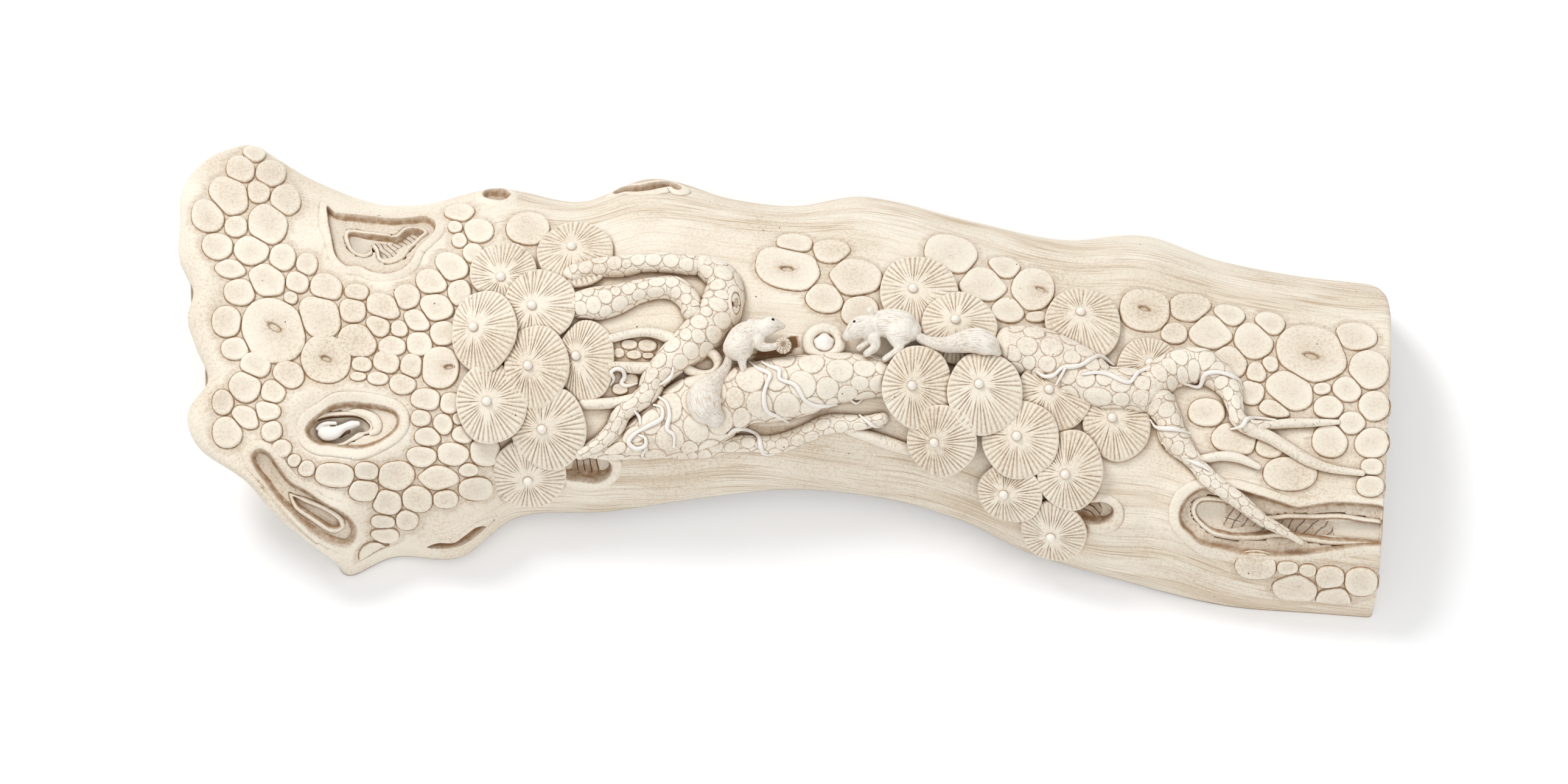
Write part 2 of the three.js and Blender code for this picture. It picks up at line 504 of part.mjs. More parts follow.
// Needle disc: a thin oval plate bent over the trunk, with a bead, on a pad of clay that reaches down to what
// it lies on
function needleDisc({ at, long, wide, rise, lean, bead }, grow) {
  const rim = DISC_THICKNESS / 2;
  const profile = [
    [0, -DISC_BED - grow], [1, -rim - grow], [1, 0], [DISC_FLAT, rim + grow], [0, DISC_CROWN + grow],
  ];
  const plate = new THREE.LatheGeometry(profile.map(([r, z]) => new THREE.Vector2(r, z)), DISC_SIDES);
  plate.rotateX(Math.PI / 2);
  plate.scale(long + grow, wide + grow, 1);
  const lift = (x, y) => lean[0] * x + lean[1] * y - y ** 2 / (2 * DISC_SAG);
  const position = plate.attributes.position;
  for (let i = 0; i < position.count; i += 1) {
    position.setZ(i, position.getZ(i) + lift(position.getX(i), position.getY(i)));
  }
  const frame = squareFrame(at, rise);
  plate.applyMatrix4(frame);
  const pearl = new THREE.Vector3(...bead, DISC_CROWN + lift(...bead)).applyMatrix4(frame);
  return solidOf(plate).add(ball(pearl, BEAD + grow, 5));
}

function branch(stops, grow) {
  const up = seat(stops[Math.floor(stops.length / 2)]).out;
  const ovals = stops.map(([u, v, half, top]) => {
    const height = Math.max(BRANCH_MIDDLE, top - half);
    return { point: above([u, v], height), radii: [half, top - height] };
  });
  return limb(ovals, up, grow);
}

// Frame of a disc or an animal on the trunk, squared to the trunk's length
function squareFrame(at, rise = 0) {
  const { origin, out } = seat(at);
  const along = new THREE.Vector3(1, 0, 0).addScaledVector(out, -out.x).normalize();
  const across = out.clone().cross(along);
  return new THREE.Matrix4().makeBasis(along, across, out).setPosition(origin.addScaledVector(out, rise));
}

function animalLimb(stops, frame, grow) {
  const up = new THREE.Vector3(0, 0, 1).transformDirection(frame);
  const placed = stops.map(([x, y, z, radius]) => (
    { point: new THREE.Vector3(x, y, z).applyMatrix4(frame), radii: [radius, radius] }));
  return limb(placed, up, grow, { step: ANIMAL_STEP });
}

function squirrelBody({ at, body, limbs, balls }, grow) {
  const frame = squareFrame(at);
  const rounds = balls.map(([x, y, z, radius]) => (
    ball(new THREE.Vector3(x, y, z).applyMatrix4(frame), radius + grow, 10)));
  const parts = [...body, ...limbs].map((stops) => animalLimb(stops, frame, grow));
  return [...parts, ...rounds].reduce((all, part) => all.add(part));
}

const squirrelTail = ({ at, tail }, grow) => animalLimb(tail, squareFrame(at), grow);

function nut(grow) {
  const centre = new THREE.Vector3(...NUT.centre).applyMatrix4(squareFrame(NUT.from));
  return ball(centre, NUT.radius + grow, 8);
}

function kernel(grow) {
  const { origin, out } = seat(BRANCH_RINGS.ring_knot.at);
  return ball(origin.addScaledVector(out, KERNEL.rise), KERNEL.radius + grow, 9);
}

// Every luted piece, lowest first. A piece is trimmed to the pieces after it and to the trunk.
const luted = [];
const addPiece = (name, color, build) => luted.push({ name, color, solid: build(0), grown: build(SEAT_GAP) });

addPiece('hollow_kernel', WHITE, (grow) => pod(HOLLOW_KERNEL, grow));
for (const [name, stops] of Object.entries(BRANCHES)) {
  addPiece(name, CREAM, (grow) => branch(stops, grow));
}
for (const [name, ring] of Object.entries(BRANCH_RINGS)) {
  addPiece(name, CREAM, (grow) => roll(ring, grow));
}
addPiece('ring_kernel', WHITE, kernel);
DISCS.forEach((disc, i) => {
  addPiece(`needle_disc_${String(i + 1).padStart(2, '0')}`, DISC_CREAM, (grow) => needleDisc(disc, grow));
});
addPiece('squirrel_left_tail', WHITE, (grow) => squirrelTail(SQUIRREL_LEFT, grow));
addPiece('squirrel_right_tail', WHITE, (grow) => squirrelTail(SQUIRREL_RIGHT, grow));
addPiece('nut', WHITE, nut);
addPiece('squirrel_left', WHITE, (grow) => squirrelBody(SQUIRREL_LEFT, grow));
addPiece('squirrel_right', WHITE, (grow) => squirrelBody(SQUIRREL_RIGHT, grow));

const object = new THREE.Group();
object.name = 'wrist_rest';

function place(name, color, solid) {
  const mesh = new THREE.Mesh(geometryOf(solid), clay(color));
  mesh.name = name;
  object.add(mesh);
  return mesh;
}

// The largest single body of a solid that trimming may have left in crumbs
function largest(solid) {
  const bodies = solid.decompose();
  return bodies.reduce((best, body) => (body.volume() > best.volume() ? body : best));
}

function boxesMeet(a, b) {
  const [p, q] = [a.boundingBox(), b.boundingBox()];
  return [0, 1, 2].every((k) => p.min[k] < q.max[k] && q.min[k] < p.max[k]);
}

place('trunk_shell', CREAM, trunkShell(0));
const trunkGrown = trunkShell(SEAT_GAP);
luted.forEach((piece, i) => {
  let solid = piece.solid.subtract(trunkGrown);
  for (const upper of luted.slice(i + 1)) {
    if (boxesMeet(solid, upper.grown)) solid = solid.subtract(upper.grown);
  }
  place(piece.name, piece.color, largest(solid));
});

// Tendrils are laid over whatever is there: each point rests on the highest surface below it
const lookDown = new THREE.Raycaster();
const underlay = [...object.children];
const laid = luted.map((piece) => piece.grown);
const restingHeight = (x, y) => {
  lookDown.set(new THREE.Vector3(x, y, CREST * 4), new THREE.Vector3(0, 0, -1));
  const hits = lookDown.intersectObjects(underlay, false);
  return hits.length ? hits[0].point.z : 0;
};

function tendril(polyline) {
  const marks = polyline.map((p) => above(p, 0)).map((p) => new THREE.Vector3(p.x, p.y, 0));
  const route = new THREE.CatmullRomCurve3(marks, false, 'centripetal');
  const count = Math.max(4, Math.round(route.getLength() / TENDRIL_STEP));
  const bare = Array.from({ length: count + 1 }, (_, i) => route.getPoint(i / count));
  const clear = TENDRIL + SEAT_GAP + TENDRIL_PLAY;
  const reach = TENDRIL + TENDRIL_PLAY;
  const round = [[0, 0], [reach, 0], [-reach, 0], [0, reach], [0, -reach]];
  const heights = bare.map(({ x, y }) => Math.max(...round.map(([dx, dy]) => restingHeight(x + dx, y + dy))));
  const stops = bare.map((p, i) => {
    const [before, after] = [heights[Math.max(i - 1, 0)], heights[Math.min(i + 1, count)]];
    const height = Math.max(heights[i], (before + after) / 2 - TENDRIL_DIP);
    return { point: p.setZ(height + clear), radii: [TENDRIL, TENDRIL] };
  });
  const up = new THREE.Vector3(0, 0, 1);
  return (grow) => limb(stops, up, grow, { sides: TENDRIL_SIDES, step: TENDRIL_STEP });
}

TENDRILS.forEach((polyline, i) => {
  const strand = tendril(polyline);
  const cut = laid.reduce((solid, under) => (
    boxesMeet(solid, under) ? solid.subtract(under) : solid), strand(0).subtract(trunkGrown));
  underlay.push(place(`tendril_${String(i + 1).padStart(2, '0')}`, WHITE, largest(cut)));
  laid.push(strand(SEAT_GAP));
});

// The origin is the middle of the object's footprint, on the desk
const bounds = new THREE.Box3().setFromObject(object);
const middle = bounds.getCenter(new THREE.Vector3());
object.position.set(-middle.x, -middle.y, -bounds.min.z);
object.updateMatrixWorld(true);

export default object;
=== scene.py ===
"""A biscuit porcelain wrist rest: a vaulted pine trunk with branches, needle discs, squirrels and tendrils.

Sizes are in millimetres, in the maker's frame of the trunk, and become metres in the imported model's frame
when a mesh is made.
"""

import logging
import math
from dataclasses import dataclass, field
from enum import Enum
from typing import Callable, Sequence

import bpy
import numpy as np
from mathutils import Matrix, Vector
from mathutils.bvhtree import BVHTree

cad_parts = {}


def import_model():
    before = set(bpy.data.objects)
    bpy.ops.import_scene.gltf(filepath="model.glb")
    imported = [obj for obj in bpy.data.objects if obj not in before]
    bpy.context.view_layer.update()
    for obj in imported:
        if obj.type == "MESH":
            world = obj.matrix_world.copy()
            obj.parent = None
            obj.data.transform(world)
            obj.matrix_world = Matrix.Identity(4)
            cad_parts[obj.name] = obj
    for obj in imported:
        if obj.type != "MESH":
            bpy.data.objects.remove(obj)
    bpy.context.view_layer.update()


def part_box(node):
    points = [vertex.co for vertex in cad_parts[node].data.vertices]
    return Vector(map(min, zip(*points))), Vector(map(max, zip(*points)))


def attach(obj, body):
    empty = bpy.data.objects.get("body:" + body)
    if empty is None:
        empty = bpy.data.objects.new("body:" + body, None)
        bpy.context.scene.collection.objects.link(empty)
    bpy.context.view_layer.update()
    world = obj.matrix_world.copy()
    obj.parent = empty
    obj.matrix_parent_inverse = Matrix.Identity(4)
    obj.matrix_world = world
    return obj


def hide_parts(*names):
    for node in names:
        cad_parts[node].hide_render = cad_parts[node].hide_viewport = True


LOG = logging.getLogger("wrist_rest")
MM = 0.001
Stations = Sequence[tuple[float, float]]
Spot = tuple[float, float]
Array = np.ndarray


class Finish(Enum):
    """The clays and washes of the object, by the record's slot that each belongs to."""

    TRUNK = "trunk_biscuit"
    BRANCH = "branch_biscuit"
    DISC = "needle_disc_biscuit"
    SQUIRREL = "squirrel_biscuit"
    WHITE = "white_porcelain"
    EYE = "squirrel_biscuit_eye"


@dataclass(frozen=True)
class Clay:
    """An unglazed clay with a thin wash and painted shade in its recesses.

    Colours are sRGB shares of 1.
    """

    finish: Finish
    body: tuple[float, float, float]
    wash_and_shade: tuple[float, float, float]
    # Reach and strength of the brown that occlusion lays in recesses: the real wash and painted shade together.
    wash_and_shade_reach_mm: float = 1.6
    wash_and_shade_amount: float = 0.85
    paint: float = 0.92
    mottle: float = 0.6
    specks: float = 1.0
    # How strongly the broad valleys are darkened with painted shade.
    valley_shade: float = 0.4
    grain: float = 0.0
    scratches: float = 0.0
    fur: float = 0.0
    roughness: float = 0.62
    bump_mm: float = 0.05

    def material(self) -> bpy.types.Material:
        """Builds the node tree of this clay.

        Returns:
            The new material.
        """
        mat = bpy.data.materials.new(self.finish.value)
        mat.use_nodes = True
        tree = NodeBench(mat)
        place = tree.add("ShaderNodeTexCoord").outputs["Object"]
        patches, fine = tree.noise(place, 55.0, 4.0), tree.noise(place, 1700.0, 3.0)
        broken = tree.ramp(tree.noise(place, 620.0, 4.0), 0.28, 0.6, 1.0, 0.55)
        body = tree.mix(tree.ramp(patches, 0.38, 0.72, self.mottle), srgb(self.body), srgb(self.soiled(0.17)))
        coat = Coat(tree, body, tree.math("MULTIPLY", fine, 0.5))
        self.lay_wash_and_shade(coat, patches, fine, broken)
        if self.grain:
            self.lay_grain(coat)
        if self.scratches:
            self.lay_scratches(coat, broken)
        if self.fur:
            self.lay_fur(coat, broken)
        if self.specks:
            self.lay_specks(coat, place)
        coat.finish(mat.node_tree.nodes["Principled BSDF"], self.roughness, self.bump_mm)
        return mat

    def soiled(self, share: float) -> tuple[float, float, float]:
        """The body's colour with a share of wash."""
        return tint(self.body, self.wash_and_shade, share)

    @property
    def deep(self) -> tuple[float, float, float]:
        """The wash where it lies thick, also the near-black painted shade of the most enclosed recesses."""
        return tint(self.wash_and_shade, THICK_WASH_AND_SHADE, 0.6)

    def lay_wash_and_shade(
        self,
        coat: "Coat",
        patches: bpy.types.NodeSocket,
        fine: bpy.types.NodeSocket,
        broken: bpy.types.NodeSocket,
    ) -> None:
        """Lays the grit, painted shade in the valleys, the wash and painted shade in the recesses, near-black
        painted shade in the deepest recesses and what was painted on.

        Args:
            coat: The coat so far.
            patches: Broad noise.
            fine: Fine noise.
            broken: How whole a line of wash is.
        """
        tree = coat.tree
        # The painted attribute holds the wash and, in values above 1, painted shade.
        painted = tree.attribute("wash_and_shade")
        settled = tree.ramp(patches, 0.4, 0.7, 0.9, 0.25)
        settled = tree.math("MAXIMUM", settled, tree.ramp(painted, 0.04, 0.3, 1.0))
        coat.colour(tree.math("MULTIPLY", tree.ramp(fine, 0.46, 0.66, self.mottle), settled), self.soiled(0.5))
        # Painted shade: a broad brown tone wherever the surface lies enclosed within 4 mm.
        coat.colour(tree.ramp(tree.occlusion(VALLEY_SHADE_REACH_MM, 8), 0.72, 0.25, self.valley_shade), self.wash_and_shade)
        # Wash and painted shade: brown wherever the surface is enclosed within the clay's reach.
        recess = tree.occlusion(self.wash_and_shade_reach_mm, 12)
        recess_wash_and_shade = tree.ramp(recess, 0.92, 0.42, self.wash_and_shade_amount)
        laid = tree.math("MAXIMUM", recess_wash_and_shade, tree.math("MULTIPLY", painted, self.paint))
        coat.colour(tree.math("MULTIPLY", laid, broken), self.wash_and_shade)
        # Painted shade: near-black brown where the surface is most enclosed.
        coat.colour(tree.ramp(recess, 0.35, 0.05, self.wash_and_shade_amount), self.deep)
        # Painted values above 1 lay the darkest brown: painted shadows, the deep hole's painted shade, the
        # knot's groove and the darkest lines at the scales' feet.
        coat.colour(tree.ramp(painted, 1.05, 2.0, 0.95), DEEPEST_SHADE_AND_WASH)
        coat.colour(tree.attribute("bare"), BARE_CLAY)

    def lay_grain(self, coat: "Coat") -> None:
        """Brushes the wood's grain along the trunk."""
        tree = coat.tree
        weight, flow = tree.attribute("grain"), tree.flow()
        lines = tree.stretched_noise(flow, (0.06, 2.0, 1.0), 7.0)
        broad = tree.stretched_noise(flow, (0.016, 0.16, 1.0), 3.0)
        patchy = tree.math("MULTIPLY", weight, tree.ramp(broad, 0.36, 0.62, 1.0, 0.3))
        coat.colour(tree.math("MULTIPLY", tree.ramp(lines, 0.51, 0.66, 1.0), patchy), self.soiled(0.6))
        coat.colour(tree.math("MULTIPLY", tree.ramp(broad, 0.46, 0.68, 0.6), weight), self.soiled(0.36))
        coat.sink(tree.math("MULTIPLY", lines, weight), 5.0 * self.grain)

    def lay_scratches(self, coat: "Coat", broken: bpy.types.NodeSocket) -> None:
        """Draws a dark line at each whole number of the stroke attribute."""
        tree = coat.tree
        place_of_line = tree.math("FRACT", tree.attribute("stroke"), 0.0)
        from_line = tree.math("ABSOLUTE", tree.math("SUBTRACT", place_of_line, 0.5), 0.0)
        scratch = tree.math("MULTIPLY", tree.ramp(from_line, 0.1, 0.02, 1.0), tree.attribute("scratched"))
        coat.colour(tree.math("MULTIPLY", scratch, broken), self.deep)
        coat.sink(scratch, 6.0)

    def lay_fur(self, coat: "Coat", broken: bpy.types.NodeSocket) -> None:
        """Combs hair along the limbs."""
        tree = coat.tree
        hairs = tree.stretched_noise(tree.flow(), (0.45, 3.4, 1.0), 3.0)
        hairs = tree.math("MULTIPLY", hairs, tree.attribute("combed"))
        streak = tree.ramp(hairs, 0.52, 0.64, 0.7 * self.fur)
        coat.colour(tree.math("MULTIPLY", streak, broken), self.soiled(0.6))
        coat.sink(hairs, 4.0 * self.fur)

    def lay_specks(self, coat: "Coat", place: bpy.types.NodeSocket) -> None:
        """Scatters the fine pinholes."""
        tree = coat.tree
        dots = tree.add("ShaderNodeTexVoronoi")
        dots.inputs["Scale"].default_value = 330.0
        tree.link(place, dots.inputs["Vector"])
        sparse = tree.ramp(tree.noise(place, 160.0, 2.0), 0.57, 0.6, 1.0)
        spot = tree.ramp(dots.outputs["Distance"], 0.07, 0.045, 0.85 * self.specks)
        spot = tree.math("MULTIPLY", spot, sparse)
        coat.colour(spot, PINHOLE)
        coat.sink(spot, 3.0)


@dataclass
class Coat:
    """A finish in the making: its colour and its height so far."""

    tree: "NodeBench"
    shade: bpy.types.NodeSocket
    height: bpy.types.NodeSocket

    def colour(self, mark: bpy.types.NodeSocket, colour: Sequence[float]) -> None:
        """Lays a colour where a mark is."""
        self.shade = self.tree.mix(mark, self.shade, srgb(colour))

    def sink(self, mark: bpy.types.NodeSocket, depth: float) -> None:
        """Sinks the surface where a mark is, in parts of the clay's bump."""
        self.height = self.tree.math("SUBTRACT", self.height, self.tree.math("MULTIPLY", mark, depth))

    def finish(self, shader: bpy.types.ShaderNode, roughness: float, bump_mm: float) -> None:
        """Hands the coat to a shader.

        Args:
            shader: The material's shader node.
            roughness: How matt the clay is.
            bump_mm: The size of the bump.
        """
        bump = self.tree.add("ShaderNodeBump")
        bump.inputs["Distance"].default_value = bump_mm * MM
        bump.inputs["Strength"].default_value = 1.0
        self.tree.link(self.height, bump.inputs["Height"])
        self.tree.link(bump.outputs["Normal"], shader.inputs["Normal"])
        self.tree.link(self.shade, shader.inputs["Base Color"])
        shader.inputs["Roughness"].default_value = roughness
        shader.inputs["Specular IOR Level"].default_value = 0.35


class NodeBench:
    """Adds and joins shader nodes."""

    def __init__(self, mat: bpy.types.Material) -> None:
        """Takes the material whose tree is worked on."""
        self.tree = mat.node_tree

    def add(self, kind: str) -> bpy.types.ShaderNode:
        """Adds a node of a kind."""
        return self.tree.nodes.new(kind)

    def link(self, source: bpy.types.NodeSocket, target: bpy.types.NodeSocket) -> None:
        """Joins two sockets."""
        self.tree.links.new(source, target)

    def feed(self, value: object, socket: bpy.types.NodeSocket) -> None:
        """Links a socket, or sets its own value where a number or colour is given."""
        if isinstance(value, bpy.types.NodeSocket):
            self.link(value, socket)
        else:
            socket.default_value = value

    def math(self, operation: str, a: object, b: object) -> bpy.types.NodeSocket:
        """A Math node of two inputs."""
        node = self.add("ShaderNodeMath")
        node.operation = operation
        self.feed(a, node.inputs[0])
        self.feed(b, node.inputs[1])
        return node.outputs[0]

    def mix(self, factor: object, a: object, b: object) -> bpy.types.NodeSocket:
        """A colour mix by a factor."""
        node = self.add("ShaderNodeMix")
        node.data_type = "RGBA"
        self.feed(factor, node.inputs[0])
        self.feed(a, node.inputs[6])
        self.feed(b, node.inputs[7])
        return node.outputs[2]

    def noise(self, place: bpy.types.NodeSocket, scale: float, detail: float) -> bpy.types.NodeSocket:
        """A noise of a scale per metre."""
        node = self.add("ShaderNodeTexNoise")
        node.inputs["Scale"].default_value = scale
        node.inputs["Detail"].default_value = detail
        self.link(place, node.inputs["Vector"])
        return node.outputs["Fac"]

    def stretched_noise(
        self, place: bpy.types.NodeSocket, scales: tuple[float, float, float], detail: float
    ) -> bpy.types.NodeSocket:
        """A noise with its own scale along each axis."""
        node = self.add("ShaderNodeMapping")
        node.inputs["Scale"].default_value = scales
        self.link(place, node.inputs["Vector"])
        return self.noise(node.outputs["Vector"], 1.0, detail)

    def ramp(
        self, value: bpy.types.NodeSocket, low: float, high: float, top: float, bottom: float = 0.0
    ) -> bpy.types.NodeSocket:
        """A clamped linear map.

        Args:
            value: The socket to map.
            low: The input that gives bottom.
            high: The input that gives top.
            top: The output at high.
            bottom: The output at low.

        Returns:
            The mapped socket.
        """
        node = self.add("ShaderNodeMapRange")
        node.clamp = True
        self.link(value, node.inputs["Value"])
        for name, number in (("From Min", low), ("From Max", high), ("To Min", bottom), ("To Max", top)):
            node.inputs[name].default_value = number
        return node.outputs["Result"]

    def occlusion(self, reach_mm: float, samples: int) -> bpy.types.NodeSocket:
        """How open the surface lies within a reach."""
        node = self.add("ShaderNodeAmbientOcclusion")
        node.samples = samples
        node.inputs["Distance"].default_value = reach_mm * MM
        return node.outputs["AO"]

    def flow(self) -> bpy.types.NodeSocket:
        """The surface's own place, from the attributes along and across."""
        node = self.add("ShaderNodeCombineXYZ")
        self.link(self.attribute("along"), node.inputs[0])
        self.link(self.attribute("across"), node.inputs[1])
        return node.outputs[0]

    def attribute(self, name: str) -> bpy.types.NodeSocket:
        """The factor of a mesh attribute."""
        node = self.add("ShaderNodeAttribute")
        node.attribute_name = name
        return node.outputs["Fac"]


def srgb(colour: Sequence[float]) -> tuple[float, float, float, float]:
    """A scene-linear colour from sRGB shares of 1."""
    linear = [c / 12.92 if c <= 0.04045 else ((c + 0.055) / 1.055) ** 2.4 for c in colour]
    return (linear[0], linear[1], linear[2], 1.0)


def tint(colour: Sequence[float], other: Sequence[float], share: float) -> tuple[float, float, float]:
    """A colour part of the way to another."""
    mixed = [a + (b - a) * share for a, b in zip(colour, other)]
    return (mixed[0], mixed[1], mixed[2])


CREAM = (0.965, 0.93, 0.865)
# Brown of the wash, also used as painted shade in recesses and valleys.
WASH_AND_SHADE = (0.56, 0.4, 0.225)
THICK_WASH_AND_SHADE = (0.16, 0.11, 0.07)
# Near-black brown for painted shadows and the darkest wash lines.
DEEPEST_SHADE_AND_WASH = (0.15, 0.11, 0.07)
BARE_CLAY = (0.99, 0.975, 0.95)
PINHOLE = (0.33, 0.25, 0.17)
# Reach of the broad painted shade in the valleys.
VALLEY_SHADE_REACH_MM = 4.0
CLAYS = (
    Clay(Finish.TRUNK, CREAM, WASH_AND_SHADE, wash_and_shade_reach_mm=1.2, wash_and_shade_amount=0.78, grain=1.0, scratches=1.0),
    Clay(Finish.BRANCH, (0.972, 0.941, 0.883), WASH_AND_SHADE, wash_and_shade_reach_mm=1.1, wash_and_shade_amount=0.8, scratches=1.0),
    Clay(Finish.DISC, (0.96, 0.923, 0.855), WASH_AND_SHADE, wash_and_shade_reach_mm=0.9, wash_and_shade_amount=0.75),
    Clay(
        Finish.SQUIRREL, (0.985, 0.965, 0.925), (0.58, 0.43, 0.29), wash_and_shade_reach_mm=0.9, wash_and_shade_amount=0.55,
        valley_shade=0.15, specks=0.0, fur=1.0,
    ),
    Clay(
        Finish.WHITE, (0.975, 0.96, 0.935), (0.62, 0.5, 0.38), wash_and_shade_reach_mm=0.8, wash_and_shade_amount=0.55,
        valley_shade=0.15, mottle=0.2, specks=0.0,
    ),
    Clay(
        Finish.EYE, (0.04, 0.035, 0.03), (0.02, 0.02, 0.02),
        mottle=0.0, specks=0.0, roughness=0.25, bump_mm=0.005,
    ),
)


def unit(rows: Array) -> Array:
    """Vectors made 1 long, along the last axis."""
    return rows / np.linalg.norm(rows, axis=-1, keepdims=True)


def smooth(stations: Stations, u: Array | float) -> Array:
    """Smooth values through stations.

    Args:
        stations: Rows of place and value.
        u: The places that are asked for.

    Returns:
        The value at each place.
    """
    xs, ys = np.array(stations, float).T
    ahead = np.minimum(np.arange(len(xs)) + 1, len(xs) - 1)
    behind = np.maximum(np.arange(len(xs)) - 1, 0)
    slope = (ys[ahead] - ys[behind]) / (xs[ahead] - xs[behind])
    u = np.asarray(u, float)
    i = np.clip(np.searchsorted(xs, u, side="right") - 1, 0, len(xs) - 2)
    step = xs[i + 1] - xs[i]
    t = np.clip((u - xs[i]) / step, 0.0, 1.0)
    t2, t3 = t * t, t**3
    return (
        (2 * t3 - 3 * t2 + 1) * ys[i] + (t3 - 2 * t2 + t) * step * slope[i]
        + (3 * t2 - 2 * t3) * ys[i + 1] + (t3 - t2) * step * slope[i + 1]
    )


def run_along(line: Array) -> Array:
    """The distance along a line at each of its corners."""
    return np.concatenate([[0], np.cumsum(np.linalg.norm(np.diff(line, axis=0), axis=1))])


def through(at: Array, rows: Array, places: Array) -> Array:
    """Rows at places along a smooth line through known rows."""
    return np.stack([smooth(np.column_stack([at, column]), places) for column in rows.T], axis=1)


def ramped(values: Array, start: float, end: float, least: float = 0.0) -> Array:
    """A share that grows from least near start to 1 at end."""
    return np.clip((values - start) / (end - start), least, 1)


def mesh_points(obj: bpy.types.Object) -> Array:
    """A mesh's corners, one row each."""
    return np.array([v.co for v in obj.data.vertices])


@dataclass(frozen=True)
class Sheet:
    """An enlarged part of the photograph, in which places were read."""

    left: float
    top: float
    zoom: float

    def pixel(self, spots: Sequence[Spot]) -> Array:
        """The photograph's pixels of places in the sheet."""
        return np.array([self.left, self.top]) + np.array(spots, float)[:, :2] / self.zoom


@dataclass(frozen=True)
class Swelling:
    """A broad soft roll round a hollow, in the trunk's own clay."""

    at: Spot
    long: float
    wide: float
    turn: float
    roll: float
    width: float

    def relief(self, flat: Array) -> Array:
        """Height that the roll adds.

        Args:
            flat: Points in the roll's own plane, as shares of its half length and half width.

        Returns:
            The height at each point.
        """
        ring = np.hypot(flat[:, 0], flat[:, 1])
        return self.roll * np.exp(-(((ring - 1.0) * self.wide / self.width) ** 2))


